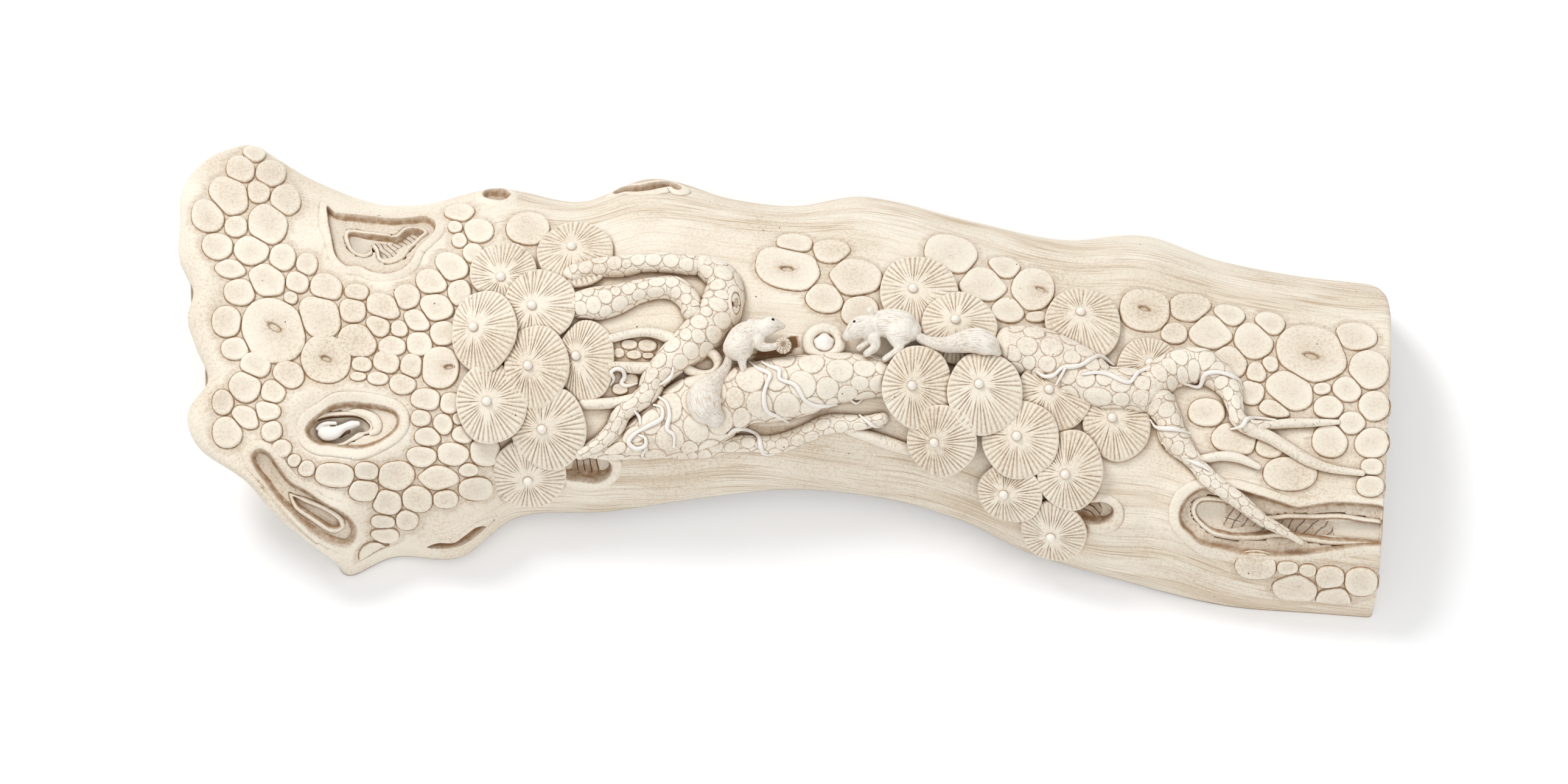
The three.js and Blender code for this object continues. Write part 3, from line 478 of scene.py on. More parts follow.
@dataclass
class Vault:
    """The trunk's form: a vault over two curved rims, with a torn end and a sawn end."""

    length: float = 280.0
    width: float = 118.0
    torn_depth: float = 38.0
    sawn_depth: float = 5.0
    crest: float = 26.0
    crest_end: float = 28.0
    wall: float = 6.0
    rim_lift: float = 5.0
    foot_length: float = 35.0
    roundness: float = 2.3
    near_rim: Stations = (
        (-1, -0.847), (-0.73, -0.835), (-0.64, -0.744), (-0.53, -0.749), (-0.44, -0.592), (-0.29, -0.573),
        (-0.11, -0.515), (0.02, -0.488), (0.17, -0.525), (0.3, -0.617), (0.4, -0.736), (0.55, -0.841),
        (0.72, -0.939), (0.88, -0.973), (1, -0.996),
    )
    far_rim: Stations = (
        (-1, 1), (-0.9, 0.99), (-0.79, 0.832), (-0.68, 0.725), (-0.6, 0.717), (-0.48, 0.776), (-0.34, 0.705),
        (-0.22, 0.802), (-0.08, 0.705), (0.02, 0.676), (0.14, 0.72), (0.31, 0.627), (0.47, 0.553),
        (0.6, 0.585),
        (0.72, 0.486), (0.86, 0.415), (1, 0.373),
    )
    torn_end: Stations = (
        (-1, 1), (-0.9, 0.776), (-0.8, 0.605), (-0.7, 0.461), (-0.6, 0.218), (-0.5, 0.121), (-0.4, 0.121),
        (-0.28, 0.224), (-0.12, 0.145), (0.02, 0.087), (0.15, 0.113), (0.33, 0.016), (0.5, 0.008), (0.68, 0),
        (0.8, 0.079), (0.9, 0.224), (1, 0.345),
    )
    sawn_end: Stations = ((-1, 1), (-0.6, 0.8), (0, 0.44), (0.4, 0.16), (0.75, 0), (0.9, 0.2), (1, 0.8))
    swellings: Sequence[Swelling] = (
        Swelling((-0.713, -0.41), 15.0, 8.6, -0.04, 1.7, 3.0),
        Swelling((-0.67, 0.61), 12.6, 7.0, -0.3, 1.1, 2.4),
        Swelling((-0.79, -0.74), 17.5, 4.6, -0.74, 1.1, 2.0),
        Swelling((-0.533, -0.95), 7.6, 3.4, 0.35, 0.8, 1.8),
        Swelling((-0.478, 0.83), 4.6, 2.8, 0.0, 0.9, 1.6),
        Swelling((-0.319, -0.86), 7.6, 4.0, 0.0, 0.7, 1.8),
        Swelling((0.53, -0.79), 5.4, 3.8, 0.0, 0.9, 1.7),
        Swelling((0.68, -0.66), 7.5, 6.5, 0.0, 0.8, 2.2),
    )
    middle: Spot = (-0.088, -0.478)
    shift: Array = field(default_factory=lambda: np.zeros(3))

    def ends(self, v: Array | float) -> tuple[Array, Array]:
        """The x of the torn end and of the sawn end at each share across."""
        half = self.length / 2
        return (
            -half + self.torn_depth * smooth(self.torn_end, v),
            half - self.sawn_depth * smooth(self.sawn_end, v),
        )

    def rims(self, x: Array | float) -> tuple[Array, Array]:
        """The y of the near rim and of the far rim at distances along."""
        u = np.asarray(x, float) / (self.length / 2)
        half = self.width / 2
        return smooth(self.near_rim, u) * half, smooth(self.far_rim, u) * half

    def set_out(self, low: Vector, high: Vector) -> Array:
        """The way from the maker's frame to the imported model's.

        Args:
            low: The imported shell's lowest corner, in metres.
            high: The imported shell's highest corner.

        Returns:
            The shift in millimetres.
        """
        middle = (low + high) / 2 / MM
        return np.array([middle.x - self.middle[0], middle.y - self.middle[1], low.z / MM])

    def share(self, x: Array, y: Array) -> Array:
        """The share across of places seen from above."""
        near, far = self.rims(x)
        return np.clip((y - (near + far) / 2) / ((far - near) / 2), -0.985, 0.985)

    def point(self, x: Array | float, v: Array | float, inset: Array | float = 0.0) -> Array:
        """Points of the vault.

        Args:
            x: Distance along the trunk.
            v: Share across, -1 at the near rim and 1 at the far rim.
            inset: Depth into the wall.

        Returns:
            An array of points, one row each.
        """
        x, v, inset = np.broadcast_arrays(*(np.asarray(part, float) for part in (x, v, inset)))
        half = self.length / 2
        u = x / half
        near, far = self.rims(x)
        arch = np.clip(1 - np.abs(v) ** self.roundness, 0, None) ** (1 / self.roundness)
        lift = self.rim_lift * np.clip(1 - (x / (half - self.foot_length)) ** 2, 0, None) ** 1.5
        share = np.clip(-u * 1.6 - 0.2, 0, 1)
        crest = self.crest + (self.crest_end - self.crest) * share
        y = (near + far) / 2 + ((far - near) / 2 - inset) * v
        return np.stack([x, y, lift + (crest - inset) * arch], axis=-1)

    def normal(self, x: Array | float, v: Array | float) -> Array:
        """Outward unit normals of the vault."""
        x, v = np.broadcast_arrays(np.asarray(x, float), np.asarray(v, float))
        inner = np.clip(v, -0.985, 0.985)
        along = self.point(x + 0.5, inner) - self.point(x - 0.5, inner)
        across = self.point(x, inner + 0.01) - self.point(x, inner - 0.01)
        return unit(np.cross(along, across))

    def seat(self, spot: Spot) -> tuple[Array, Array, Array, Array]:
        """Where a piece sits.

        Args:
            spot: Share of the half length and share of the half width.

        Returns:
            The point of the skin, and the unit vectors along, across and out of it.
        """
        x = spot[0] * self.length / 2
        along = unit(self.point(x + 0.5, spot[1]) - self.point(x - 0.5, spot[1]))
        across = self.point(x, min(spot[1] + 0.01, 0.995)) - self.point(x, max(spot[1] - 0.01, -0.995))
        out = unit(np.cross(along, across))
        return self.point(x, spot[1]), along, np.cross(out, along), out

    def square_seat(self, spot: Spot) -> tuple[Array, Array]:
        """Where a piece squared to the trunk's length sits.

        Args:
            spot: Share of the half length and share of the half width.

        Returns:
            The point of the skin, and the axes along, across and out as rows.
        """
        origin, _, _, out = self.seat(spot)
        along = unit(np.array([1.0, 0, 0]) - out * out[0])
        return origin, np.stack([along, np.cross(out, along), out])

    def relief(self, skin: Array) -> Array:
        """Height of the swellings at points of the bare skin."""
        height = np.zeros(len(skin))
        for roll in self.swellings:
            origin, along, across, out = self.seat(roll.at)
            offset = skin - origin
            near = np.linalg.norm(offset, axis=1) < roll.long * 1.6 + 6
            a, b = offset[near] @ along, offset[near] @ across
            cos, sin = math.cos(roll.turn), math.sin(roll.turn)
            flat = np.stack([(a * cos + b * sin) / roll.long, (b * cos - a * sin) / roll.wide], axis=1)
            height[near] += roll.relief(flat)
        return height

    def skin(self, x: Array, v: Array, height: Array | float = 0.0) -> Array:
        """Points of the worked skin, raised by a height."""
        bare = self.point(x, v)
        edge = 1 - np.abs(np.asarray(v, float)) ** 10
        return bare + self.normal(x, v) * ((self.relief(bare) * edge) + height)[:, None]


VAULT = Vault()


@dataclass(frozen=True)
class Sight:
    """The photograph's view: where the camera stands, and where a pixel meets the vault."""

    elevation: float = 68.0
    distance: float = 1204.0
    aim: tuple[float, float, float] = (0.14, -8.2, 14.0)
    lens: float = 120.0
    sensor: float = 36.0
    width: int = 2576
    height: int = 1288

    @property
    def tilt(self) -> float:
        """The camera's height over the horizon, in radians."""
        return math.radians(self.elevation)

    @property
    def eye(self) -> Array:
        """The camera's place."""
        return np.array(self.aim) + np.array([0, -math.cos(self.tilt), math.sin(self.tilt)]) * self.distance

    def rays(self, pixels: Array) -> Array:
        """The ways from the camera through pixels of the photograph."""
        step = self.sensor / self.lens / self.width
        aside = (pixels[:, 0] - self.width / 2) * step
        upward = (self.height / 2 - pixels[:, 1]) * step
        sin, cos = math.sin(self.tilt), math.cos(self.tilt)
        return np.stack([aside, cos + upward * sin, -sin + upward * cos], axis=1)

    def on_vault(self, pixels: Array) -> Array:
        """Places on the vault under pixels of the photograph.

        Args:
            pixels: Rows of pixel column and row.

        Returns:
            Rows of distance along and share across.
        """
        ray = self.rays(pixels)
        level = np.full(len(pixels), VAULT.crest)
        for _ in range(24):
            spot = self.eye + ray * ((level - self.eye[2]) / ray[:, 2])[:, None]
            v = VAULT.share(spot[:, 0], spot[:, 1])
            level = 0.5 * level + 0.5 * VAULT.point(spot[:, 0], v)[:, 2]
        return np.stack([spot[:, 0], v], axis=1)


SIGHT = Sight()


@dataclass
class Workshop:
    """Makes objects from meshes, dresses them and hands them to the frame."""

    materials: dict[Finish, bpy.types.Material] = field(default_factory=dict)
    trees: list[BVHTree] = field(default_factory=list)
    ground: BVHTree | None = None

    def prepare(self) -> None:
        """Makes the material of every clay."""
        for clay in CLAYS:
            self.materials[clay.finish] = clay.material()

    def mesh(self, name: str, points: Array, faces: list[tuple[int, ...]]) -> bpy.types.Object:
        """A mesh object from points in the maker's frame.

        Args:
            name: The piece's name.
            points: Its corners in millimetres.
            faces: Its faces, as tuples of corner numbers.

        Returns:
            The new object, at the origin.
        """
        data = bpy.data.meshes.new(name)
        placed = (np.asarray(points, float) + VAULT.shift) * MM
        data.from_pydata(placed.tolist(), [], faces)
        data.validate()
        data.update()
        data.polygons.foreach_set("use_smooth", [True] * len(data.polygons))
        obj = bpy.data.objects.new(name, data)
        bpy.context.scene.collection.objects.link(obj)
        return obj

    def primitive(self, name: str, add: Callable[..., object], **sizes: object) -> bpy.types.Object:
        """Adds one of the primitives under a name, with nothing else selected."""
        bpy.ops.object.select_all(action="DESELECT")
        add(**sizes)
        bpy.context.object.name = name
        return bpy.context.object

    def move(self, obj: bpy.types.Object, points: Array) -> None:
        """Moves a mesh's corners to points in the maker's frame."""
        obj.data.vertices.foreach_set("co", ((points + VAULT.shift) * MM).astype(np.float32).ravel())
        obj.data.update()

    def dress(self, obj: bpy.types.Object, finish: Finish, nodes: Sequence[str] = ()) -> bpy.types.Object:
        """Gives a piece its clay and its place in the frame.

        Args:
            obj: The finished piece.
            finish: The clay that it is made of.
            nodes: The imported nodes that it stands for.

        Returns:
            The same piece.
        """
        obj.data.materials.clear()
        obj.data.materials.append(self.materials[finish])
        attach(obj, "root")
        if nodes:
            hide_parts(*nodes)
        LOG.info("%s: %d faces", obj.name, len(obj.data.polygons))
        return obj

    def remember(self, obj: bpy.types.Object) -> None:
        """Keeps a piece's surface, so that later pieces can be laid on it."""
        faces = [tuple(p.vertices) for p in obj.data.polygons]
        self.trees.append(BVHTree.FromPolygons([tuple(v.co) for v in obj.data.vertices], faces))

    def on_trunk(self, x: Array, v: Array, height: Array) -> Array:
        """Points of the trunk as it was worked, raised by a height.

        Args:
            x: Distances along.
            v: Shares across.
            height: How far each point stands off the trunk.

        Returns:
            The points.
        """
        bare, out = VAULT.point(x, v), VAULT.normal(x, v)
        relief = VAULT.relief(bare)
        level = np.empty(len(bare))
        for i, (spot, way) in enumerate(zip((bare + out * 5 + VAULT.shift) * MM, out)):
            reach = self.ground.ray_cast(Vector(spot), Vector(-way))[3]
            level[i] = 5 - reach / MM if reach is not None else relief[i]
        level = np.clip(level, relief - 0.5, relief + 1.6)
        return bare + out * (level + height)[:, None]

    def meet(self, start: Array, way: Array) -> tuple[Array, Array] | None:
        """Where a ray first meets what was made so far.

        Args:
            start: The ray's start.
            way: Its direction.

        Returns:
            The point and the surface's normal, or None where the ray meets nothing.
        """
        first = Vector((start + VAULT.shift) * MM)
        hits = [tree.ray_cast(first, Vector(way)) for tree in self.trees]
        found = [hit for hit in hits if hit[0] is not None]
        if not found:
            return None
        point, normal = min(found, key=lambda hit: hit[3])[:2]
        return np.array(point) / MM - VAULT.shift, np.array(normal)


SHOP = Workshop()


def select_only(obj: bpy.types.Object) -> None:
    """Makes one object the selected and active one."""
    bpy.ops.object.select_all(action="DESELECT")
    obj.select_set(True)
    bpy.context.view_layer.objects.active = obj


def grid_faces(rows: int, columns: int, start: int = 0, around: bool = True) -> list[tuple[int, ...]]:
    """Quads between rows of points.

    Args:
        rows: Number of rows.
        columns: Points in each row.
        start: Number of the first point.
        around: Whether each row closes on itself.

    Returns:
        The faces, turned outward for rows that run clockwise as seen from the last row.
    """
    faces = []
    span = columns if around else columns - 1
    for i in range(rows - 1):
        row = start + i * columns
        for j in range(span):
            k = (j + 1) % columns
            faces.append((row + j, row + columns + j, row + columns + k, row + k))
    return faces


def fan(start: int, count: int, middle: int, turned: bool = False) -> list[tuple[int, ...]]:
    """Triangles from a ring of points to a middle point, turned over on request."""
    faces = [(start + j, start + (j + 1) % count, middle) for j in range(count)]
    return [face[::-1] for face in faces] if turned else faces


@dataclass
class TrunkShell:
    """The vaulted shell with its worked skin, thick torn lip and sawn end."""

    fields: Sequence["BarkField"]
    pockets: Sequence["Pocket"]
    around_outside: int = 300
    around_inside: int = 30
    along: int = 280
    lip_round: float = 4.5
    cut_round: float = 1.2
    lip_bulge: float = 0.9
    lip_width: float = 7.5
    groove_depth: float = 0.2

    def rounding(self, depth: Array, radius: float) -> Array:
        """How far a rounded edge draws in at a distance from the end."""
        return radius - np.sqrt(np.clip(radius**2 - np.clip(radius - depth, 0, None) ** 2, 0, None))

    def columns(self, count: int) -> Array:
        """Shares across, evenly spread over the vault's section."""
        swing = np.sin(np.linspace(-1, 1, count) * math.pi / 2)
        return np.sign(swing) * np.abs(swing) ** (2 / VAULT.roundness)

    def stations(self, v: Array) -> tuple[Array, Array, Array]:
        """Distances along for every row and column, and the two ends at each column.

        Args:
            v: The columns' shares across.

        Returns:
            The distances, the torn end and the sawn end.
        """
        from_torn = np.array([0, 0.12, 0.4, 0.8, 1.4, 2.1, 2.9, 3.8, 4.8])[:, None]
        from_sawn = np.array([1.3, 0.8, 0.4, 0.12, 0])[:, None]
        left, right = VAULT.ends(v)
        middle = np.linspace(0, 1, self.along)[1:-1, None]
        start, end = left + from_torn[-1], right - from_sawn[0]
        x = np.concatenate([left + from_torn, start + (end - start) * middle, right - from_sawn])
        return x, left, right

    def build(self) -> bpy.types.Object:
        """Makes the shell as one closed mesh.

        Returns:
            The finished piece.
        """
        v_out, v_in = self.columns(self.around_outside), self.columns(self.around_inside)[::-1]
        x, left, right = self.stations(v_out)
        v = np.broadcast_to(v_out, x.shape)
        drawn = np.maximum(self.rounding(x - left, self.lip_round), self.rounding(right - x, self.cut_round))
        bare = VAULT.point(x, v, drawn * 0.75)
        steps = np.linalg.norm(np.diff(bare, axis=1), axis=2)
        arc = np.concatenate([np.zeros((len(x), 1)), np.cumsum(steps, axis=1)], axis=1)
        arc -= arc[:, self.around_outside // 2][:, None]
        across = arc + 1.4 * np.sin(x / 21) + 1.1 * value_noise(x / 30, arc / 14, 3)
        weight = self.grain_weight(x, v)
        broad = value_noise(x / 48, across / 2.9, 12) + 0.6 * value_noise(x / 27, across / 1.5, 7)
        lip = self.lip_bulge * np.exp(-((((x - left) - self.lip_width / 2) / (self.lip_width / 2.4)) ** 2))
        swell = 0.35 * value_noise(x / 13, arc / 11, 21)
        flat = bare.reshape(-1, 3)
        height = (VAULT.relief(flat).reshape(x.shape) + lip + swell) * (1 - np.abs(v) ** 10)
        height += weight * self.groove_depth * broad * (1 - np.abs(v) ** 40)
        wash_and_shade = np.zeros(x.shape)
        for field_of_bark in self.fields:
            wash_and_shade = np.maximum(wash_and_shade, field_of_bark.halo(x, v))
        # Painted shadows are laid into the trunk's wash and shade attribute.
        for border, tone in PAINTED_SHADOWS:
            outline = SIGHT.on_vault(rounded(border, 40))
            spots = np.stack([x.ravel(), v.ravel()], axis=1)
            wash_and_shade = np.maximum(wash_and_shade, tone * in_polygon(spots, outline).reshape(x.shape))
        sunk = np.zeros(x.shape)
        for pocket in self.pockets:
            sunk = np.maximum(sunk, pocket.carve(x.ravel(), v.ravel()).reshape(x.shape))
        height = height - sunk
        height *= ramped(right - x, 0, 1.5)
        outside = bare + VAULT.normal(x, v) * height[..., None]

        x_in, left_in, right_in = self.stations(v_in)
        drawn = np.maximum(
            self.rounding(x_in - left_in, self.lip_round), self.rounding(right_in - x_in, self.cut_round)
        )
        inside = VAULT.point(x_in, np.broadcast_to(v_in, x_in.shape), VAULT.wall - drawn * 0.25)
        points = np.concatenate([outside, inside], axis=1)
        rows, columns = points.shape[:2]
        faces = grid_faces(rows, columns)
        faces += self.end_faces(0, False) + self.end_faces((rows - 1) * columns, True)
        obj = SHOP.mesh("trunk_skin", points.reshape(-1, 3), faces)
        for name, values in (("grain", weight), ("wash_and_shade", wash_and_shade), ("along", x), ("across", across)):
            paint(obj, name, np.concatenate([values, np.zeros(x_in.shape)], axis=1).ravel())
        SHOP.remember(obj)
        SHOP.ground = SHOP.trees[-1]
        return SHOP.dress(obj, Finish.TRUNK, ["trunk_shell"])

    def grain_weight(self, x: Array, v: Array) -> Array:
        """How strongly the wood grain shows: on the bare bands along both sides, less at the torn end."""
        far = ramped(v, 0.42, 0.62) * ramped(x, -85, -55, 0.15)
        near = ramped(v, -0.72, -0.84) * ramped(x, -72, -57, 0.1)
        low = ramped(v, -0.3, -0.55) * ramped(x, 62, 76)
        middle = ramped(x, -62, -50)
        return np.maximum.reduce([far, near, 0.8 * low, 0.35 * middle])

    def end_faces(self, start: int, flip: bool) -> list[tuple[int, ...]]:
        """Faces across the wall at an end, from the fine outer row to the coarse inner row.

        Args:
            start: Number of the end row's first point.
            flip: Whether the end faces +X.

        Returns:
            The faces.
        """
        n, m = self.around_outside, self.around_inside
        faces = []
        for j in range(m - 1):
            a, b = round(j * (n - 1) / (m - 1)), round((j + 1) * (n - 1) / (m - 1))
            ring = [start + k for k in range(a, b + 1)] + [start + n + m - 2 - j, start + n + m - 1 - j]
            faces.append(tuple(reversed(ring)) if flip else tuple(ring))
        return faces


@dataclass
class Cells:
    """Close-set bark scales laid out over a flat field."""

    smallest: float
    largest: float
    seed: int
    groove: float = 0.14
    stretch: float = 1.15
    tries: int = 2500

    def scatter(self, field_box: tuple[float, float, float, float], inside: Callable[[Array], Array]) -> Array:
        """Drops circles, largest first, where they fit.

        Args:
            field_box: Lowest and highest place in the field.
            inside: Says for an array of places which may hold a scale.

        Returns:
            Rows of place and radius.
        """
        rng = np.random.default_rng(self.seed)
        x0, y0, x1, y1 = field_box
        spots = rng.uniform((x0, y0), (x1, y1), (self.tries, 2))
        spots = spots[inside(spots)]
        sizes = self.largest - (self.largest - self.smallest) * np.linspace(0, 1, len(spots)) ** 0.6
        kept: list[tuple[float, float, float]] = []
        for (x, y), r in zip(spots, sizes):
            if all(math.hypot((x - a) / self.stretch, y - b) > 0.93 * (r + c) for a, b, c in kept):
                kept.append((x, y, r))
        return np.array(kept)

    def outlines(self, circles: Array, corners: int = 14) -> list[Array]:
        """Rounded outlines that fill the room between neighbours.

        Args:
            circles: Rows of place and radius.
            corners: Points in each outline.

        Returns:
            One outline for each circle, as offsets from its place.
        """
        angles = np.linspace(0, 2 * math.pi, corners, endpoint=False)
        outlines = []
        for x, y, r in circles:
            reach = np.full(corners, r * 1.22)
            dx, dy = (circles[:, 0] - x) / self.stretch, circles[:, 1] - y
            away = np.hypot(dx, dy)
            for j in np.flatnonzero((away > 0) & (away < r + circles[:, 2] + 3)):
                plane = (away[j] ** 2 + r**2 - circles[j, 2] ** 2) / (2 * away[j]) - self.groove / 2
                facing = np.cos(angles - math.atan2(dy[j], dx[j]))
                hit = facing > 0.15
                reach[hit] = np.minimum(reach[hit], plane / facing[hit])
            for _ in range(2):
                reach = (np.roll(reach, 1) + 2 * reach + np.roll(reach, -1)) / 4
            reach = np.minimum(reach, np.median(reach) * 1.25)
            outlines.append(np.stack([reach * np.cos(angles) * self.stretch, reach * np.sin(angles)], axis=1))
        return outlines


@dataclass(frozen=True)
class PadForm:
    """The section of a bark scale, from its foot inward.

    The rim's rows are the distance in from the outline and the height over the ground, both in millimetres, the
    share of the rise, and the wash. The middle's rows are the share of the radius, the share of the rise and the
    wash.
    """

    rise: float
    rim: Sequence[tuple[float, float, float, float]] = (
        (-0.4, -0.5, 0.0, 0.0), (-0.24, 0.0, 0.0, 0.0), (-0.13, 0.03, 0.0, 0.9), (0.0, 0.02, 0.1, 1.15),
        (0.1, 0.0, 0.7, 0.25), (0.26, 0.0, 1.0, 0.0), (0.75, 0.0, 0.95, 0.0),
    )
    middle: Sequence[tuple[float, float, float]] = ((0.5, 0.82, 0.1), (0.22, 0.78, 0.16))

    def rings(self, outline: Array, hub: Array, scale: float) -> list[tuple[Array, float, float]]:
        """The pad's rings.

        Args:
            outline: The pad's outline, as places of the field.
            hub: Its middle.
            scale: Millimetres to a unit of the field's second axis.

        Returns:
            The places, the height and the wash of each ring.
        """
        offset = outline - hub
        radius = np.hypot(offset[:, 0], offset[:, 1] * scale)
        narrow = min(1.0, float(radius.min()) / 1.9)
        rings = []
        for inward, height, share, tone in self.rim:
            step = inward * narrow if inward > 0 else inward
            rings.append((hub + offset * (1 - step / radius)[:, None], height + share * self.rise, tone))
        return rings + [(hub + offset * left, share * self.rise, tone) for left, share, tone in self.middle]

    def slit(self, outline: Array, hub: Array) -> list[tuple[Array, float, float]]:
        """The rings of a slit eye in the pad's middle."""
        offset = outline - hub
        reach = np.mean(np.abs(offset), axis=0)
        turns = np.arctan2(offset[:, 1] / reach[1], offset[:, 0] / reach[0])
        slit = np.stack([np.cos(turns + 0.25) * 0.17, np.sin(turns) * 0.09], axis=1) * reach * 2
        rows = ((1.35, 0.9, 0.25), (1.05, 0.8, 0.7), (0.8, 0.1, 1.0), (0.55, -0.5, 1.0))
        return [(hub + slit * grow, share * self.rise, tone) for grow, share, tone in rows]


def pad_mesh(
    outlines: list[Array],
    hubs: Array,
    lay: Callable[[Array, Array], Array],
    form: PadForm,
    scale: float = 1.0,
    eyes: Sequence[bool] = ()
) -> tuple[Array, list[tuple[int, ...]], Array]:
    """Low pads with rounded shoulders and a dished middle, some with a slit eye.

    Args:
        outlines: Each pad's outline, as places of the field.
        hubs: Each pad's middle, where its eye is.
        lay: Turns places and heights of the field into points.
        form: The pads' section.
        scale: Millimetres to a unit of the field's second axis.
        eyes: Whether each pad has an eye.

    Returns:
        The points, the faces and the wash at each point.
    """
    places, heights, wash_and_shade, faces, count = [], [], [], [], 0
    for i, (outline, hub) in enumerate(zip(outlines, hubs)):
        corners = len(outline)
        rings = form.rings(outline, hub, scale)
        eye = bool(eyes) and eyes[i]
        if eye:
            rings = rings[:-1] + form.slit(outline, hub)
        for spots, height, tone in rings:
            places.append(spots)
            heights.append(np.full(corners, height))
            wash_and_shade.append(np.full(corners, tone))
        places.append(hub[None])
        heights.append(np.array([-0.55 * form.rise if eye else 0.83 * form.rise]))
        wash_and_shade.append(np.array([1.0 if eye else 0.15]))
        faces += [tuple(reversed(f)) for f in grid_faces(len(rings), corners, count)]
        last, middle = count + (len(rings) - 1) * corners, count + len(rings) * corners
        faces += fan(last, corners, middle)
        faces.append(tuple(count + j for j in reversed(range(corners))))
        count = middle + 1
    return lay(np.concatenate(places), np.concatenate(heights)), faces, np.concatenate(wash_and_shade)


@dataclass
class BarkField:
    """Bark scales on the trunk, each read off the photograph.

    A scale is its middle, its half length and half height, and its turn in degrees. Where the row is longer, the
    last two numbers are the place of its slit eye. The gap between neighbours is in the photograph's pixels.
    """

    name: str
    sheet: Sheet
    scales: Sequence[tuple[float, ...]]
    rise: float = 0.6
    wobble: float = 0.035
    square: float = 2.25
    grow: float = 1.08
    gap: float = 1.5

    def __post_init__(self) -> None:
        """Lays the scales' outlines out on the vault."""
        rng = np.random.default_rng(len(self.scales))
        outlines, hubs, eyes = [], [], []
        for own, (x, y, long, high, turn, *eye) in enumerate(self.scales):
            long, high = long * self.grow, high * self.grow
            corners = int(np.clip(6 + (long + high) * 0.35 / self.sheet.zoom, 14, 28))
            turns = np.linspace(0, 2 * math.pi, corners, endpoint=False)
            cos, sin = math.cos(math.radians(turn)), math.sin(math.radians(turn))
            uneven = sum(
                self.wobble / k * rng.uniform(-1, 1) * np.cos(k * turns + rng.uniform(0, 6)) for k in (2, 3, 4)
            )
            swing = np.abs(np.cos(turns)) ** self.square + np.abs(np.sin(turns)) ** self.square
            swing = swing ** (-1 / self.square)
            a, b = long * np.cos(turns) * swing * (1 + uneven), high * np.sin(turns) * swing * (1 + uneven)
            ring = self.parted(own, np.stack([a * cos - b * sin, a * sin + b * cos], axis=1))
            outlines.append(SIGHT.on_vault(self.sheet.pixel(ring + (x, y))))
            hubs.append(SIGHT.on_vault(self.sheet.pixel([tuple(eye) if eye else (x, y)]))[0])
            eyes.append(bool(eye))
        self.outlines, self.hubs, self.eyes = outlines, hubs, eyes

    def parted(self, own: int, ring: Array) -> Array:
        """An outline drawn in where a neighbour is close, so that a line of ground stays between them.

        Args:
            own: The scale's number.
            ring: Its outline, round its middle.

        Returns:
            The outline that is left.
        """
        centre = np.array(self.scales[own][:2], float)
        share = np.ones(len(ring))
        for other, row in enumerate(self.scales):
            way = np.array(row[:2]) - centre
            apart = math.hypot(*way)
            if other == own:
                continue
            way /= apart
            mine, theirs = self.reach(own, way), self.reach(other, way)
            if apart > 1.2 * (mine + theirs):
                continue
            room = apart * mine / (mine + theirs) - self.gap * self.sheet.zoom / 2
            ahead = ring @ way
            over = ahead > room
            share[over] = np.minimum(share[over], room / ahead[over])
        share = (np.roll(share, 1) + 2 * share + np.roll(share, -1)) / 4
        return ring * share[:, None]

    def reach(self, number: int, way: Array) -> float:
        """How far a scale reaches from its middle along a unit vector."""
        long, high, turn = self.scales[number][2:5]
        cos, sin = math.cos(math.radians(turn)), math.sin(math.radians(turn))
        a, b = way[0] * cos + way[1] * sin, way[1] * cos - way[0] * sin
        return self.grow / math.hypot(a / long, b / high)

    def build(self) -> bpy.types.Object:
        """Lays the scales.

        Returns:
            The finished piece.
        """

        def lay(places: Array, heights: Array) -> Array:
            return SHOP.on_trunk(places[:, 0], np.clip(places[:, 1], -0.98, 0.98), heights)

        turned = [outline[::-1] for outline in self.outlines]
        near, far = VAULT.rims(np.array([hub[0] for hub in self.hubs]).mean())
        scale = float(far - near) / 2
        points, faces, wash_and_shade = pad_mesh(turned, np.array(self.hubs), lay, PadForm(self.rise), scale, self.eyes)
        obj = SHOP.mesh(self.name, points, faces)
        paint(obj, "wash_and_shade", wash_and_shade)
        return SHOP.dress(obj, Finish.TRUNK)

    def halo(self, x: Array, v: Array, reach: float = 1.3) -> Array:
        """The wash that lies on the trunk round the scales.

        Args:
            x: Distances along.
            v: Shares across.
            reach: How far the wash spreads from a scale.

        Returns:
            The wash at each place.
        """
        wash_and_shade = np.zeros(x.shape)
        for outline in self.outlines:
            hub = outline.mean(axis=0)
            radius = np.abs(outline[:, 0] - hub[0]).max()
            grown = hub + (outline - hub) * (1 + reach / radius)
            low, high = grown.min(axis=0), grown.max(axis=0)
            near = (x > low[0]) & (x < high[0]) & (v > low[1]) & (v < high[1])
            spots = np.stack([x[near], v[near]], axis=1)
            wash_and_shade[near] = np.maximum(wash_and_shade[near], 0.24 * in_polygon(spots, grown))
        return wash_and_shade


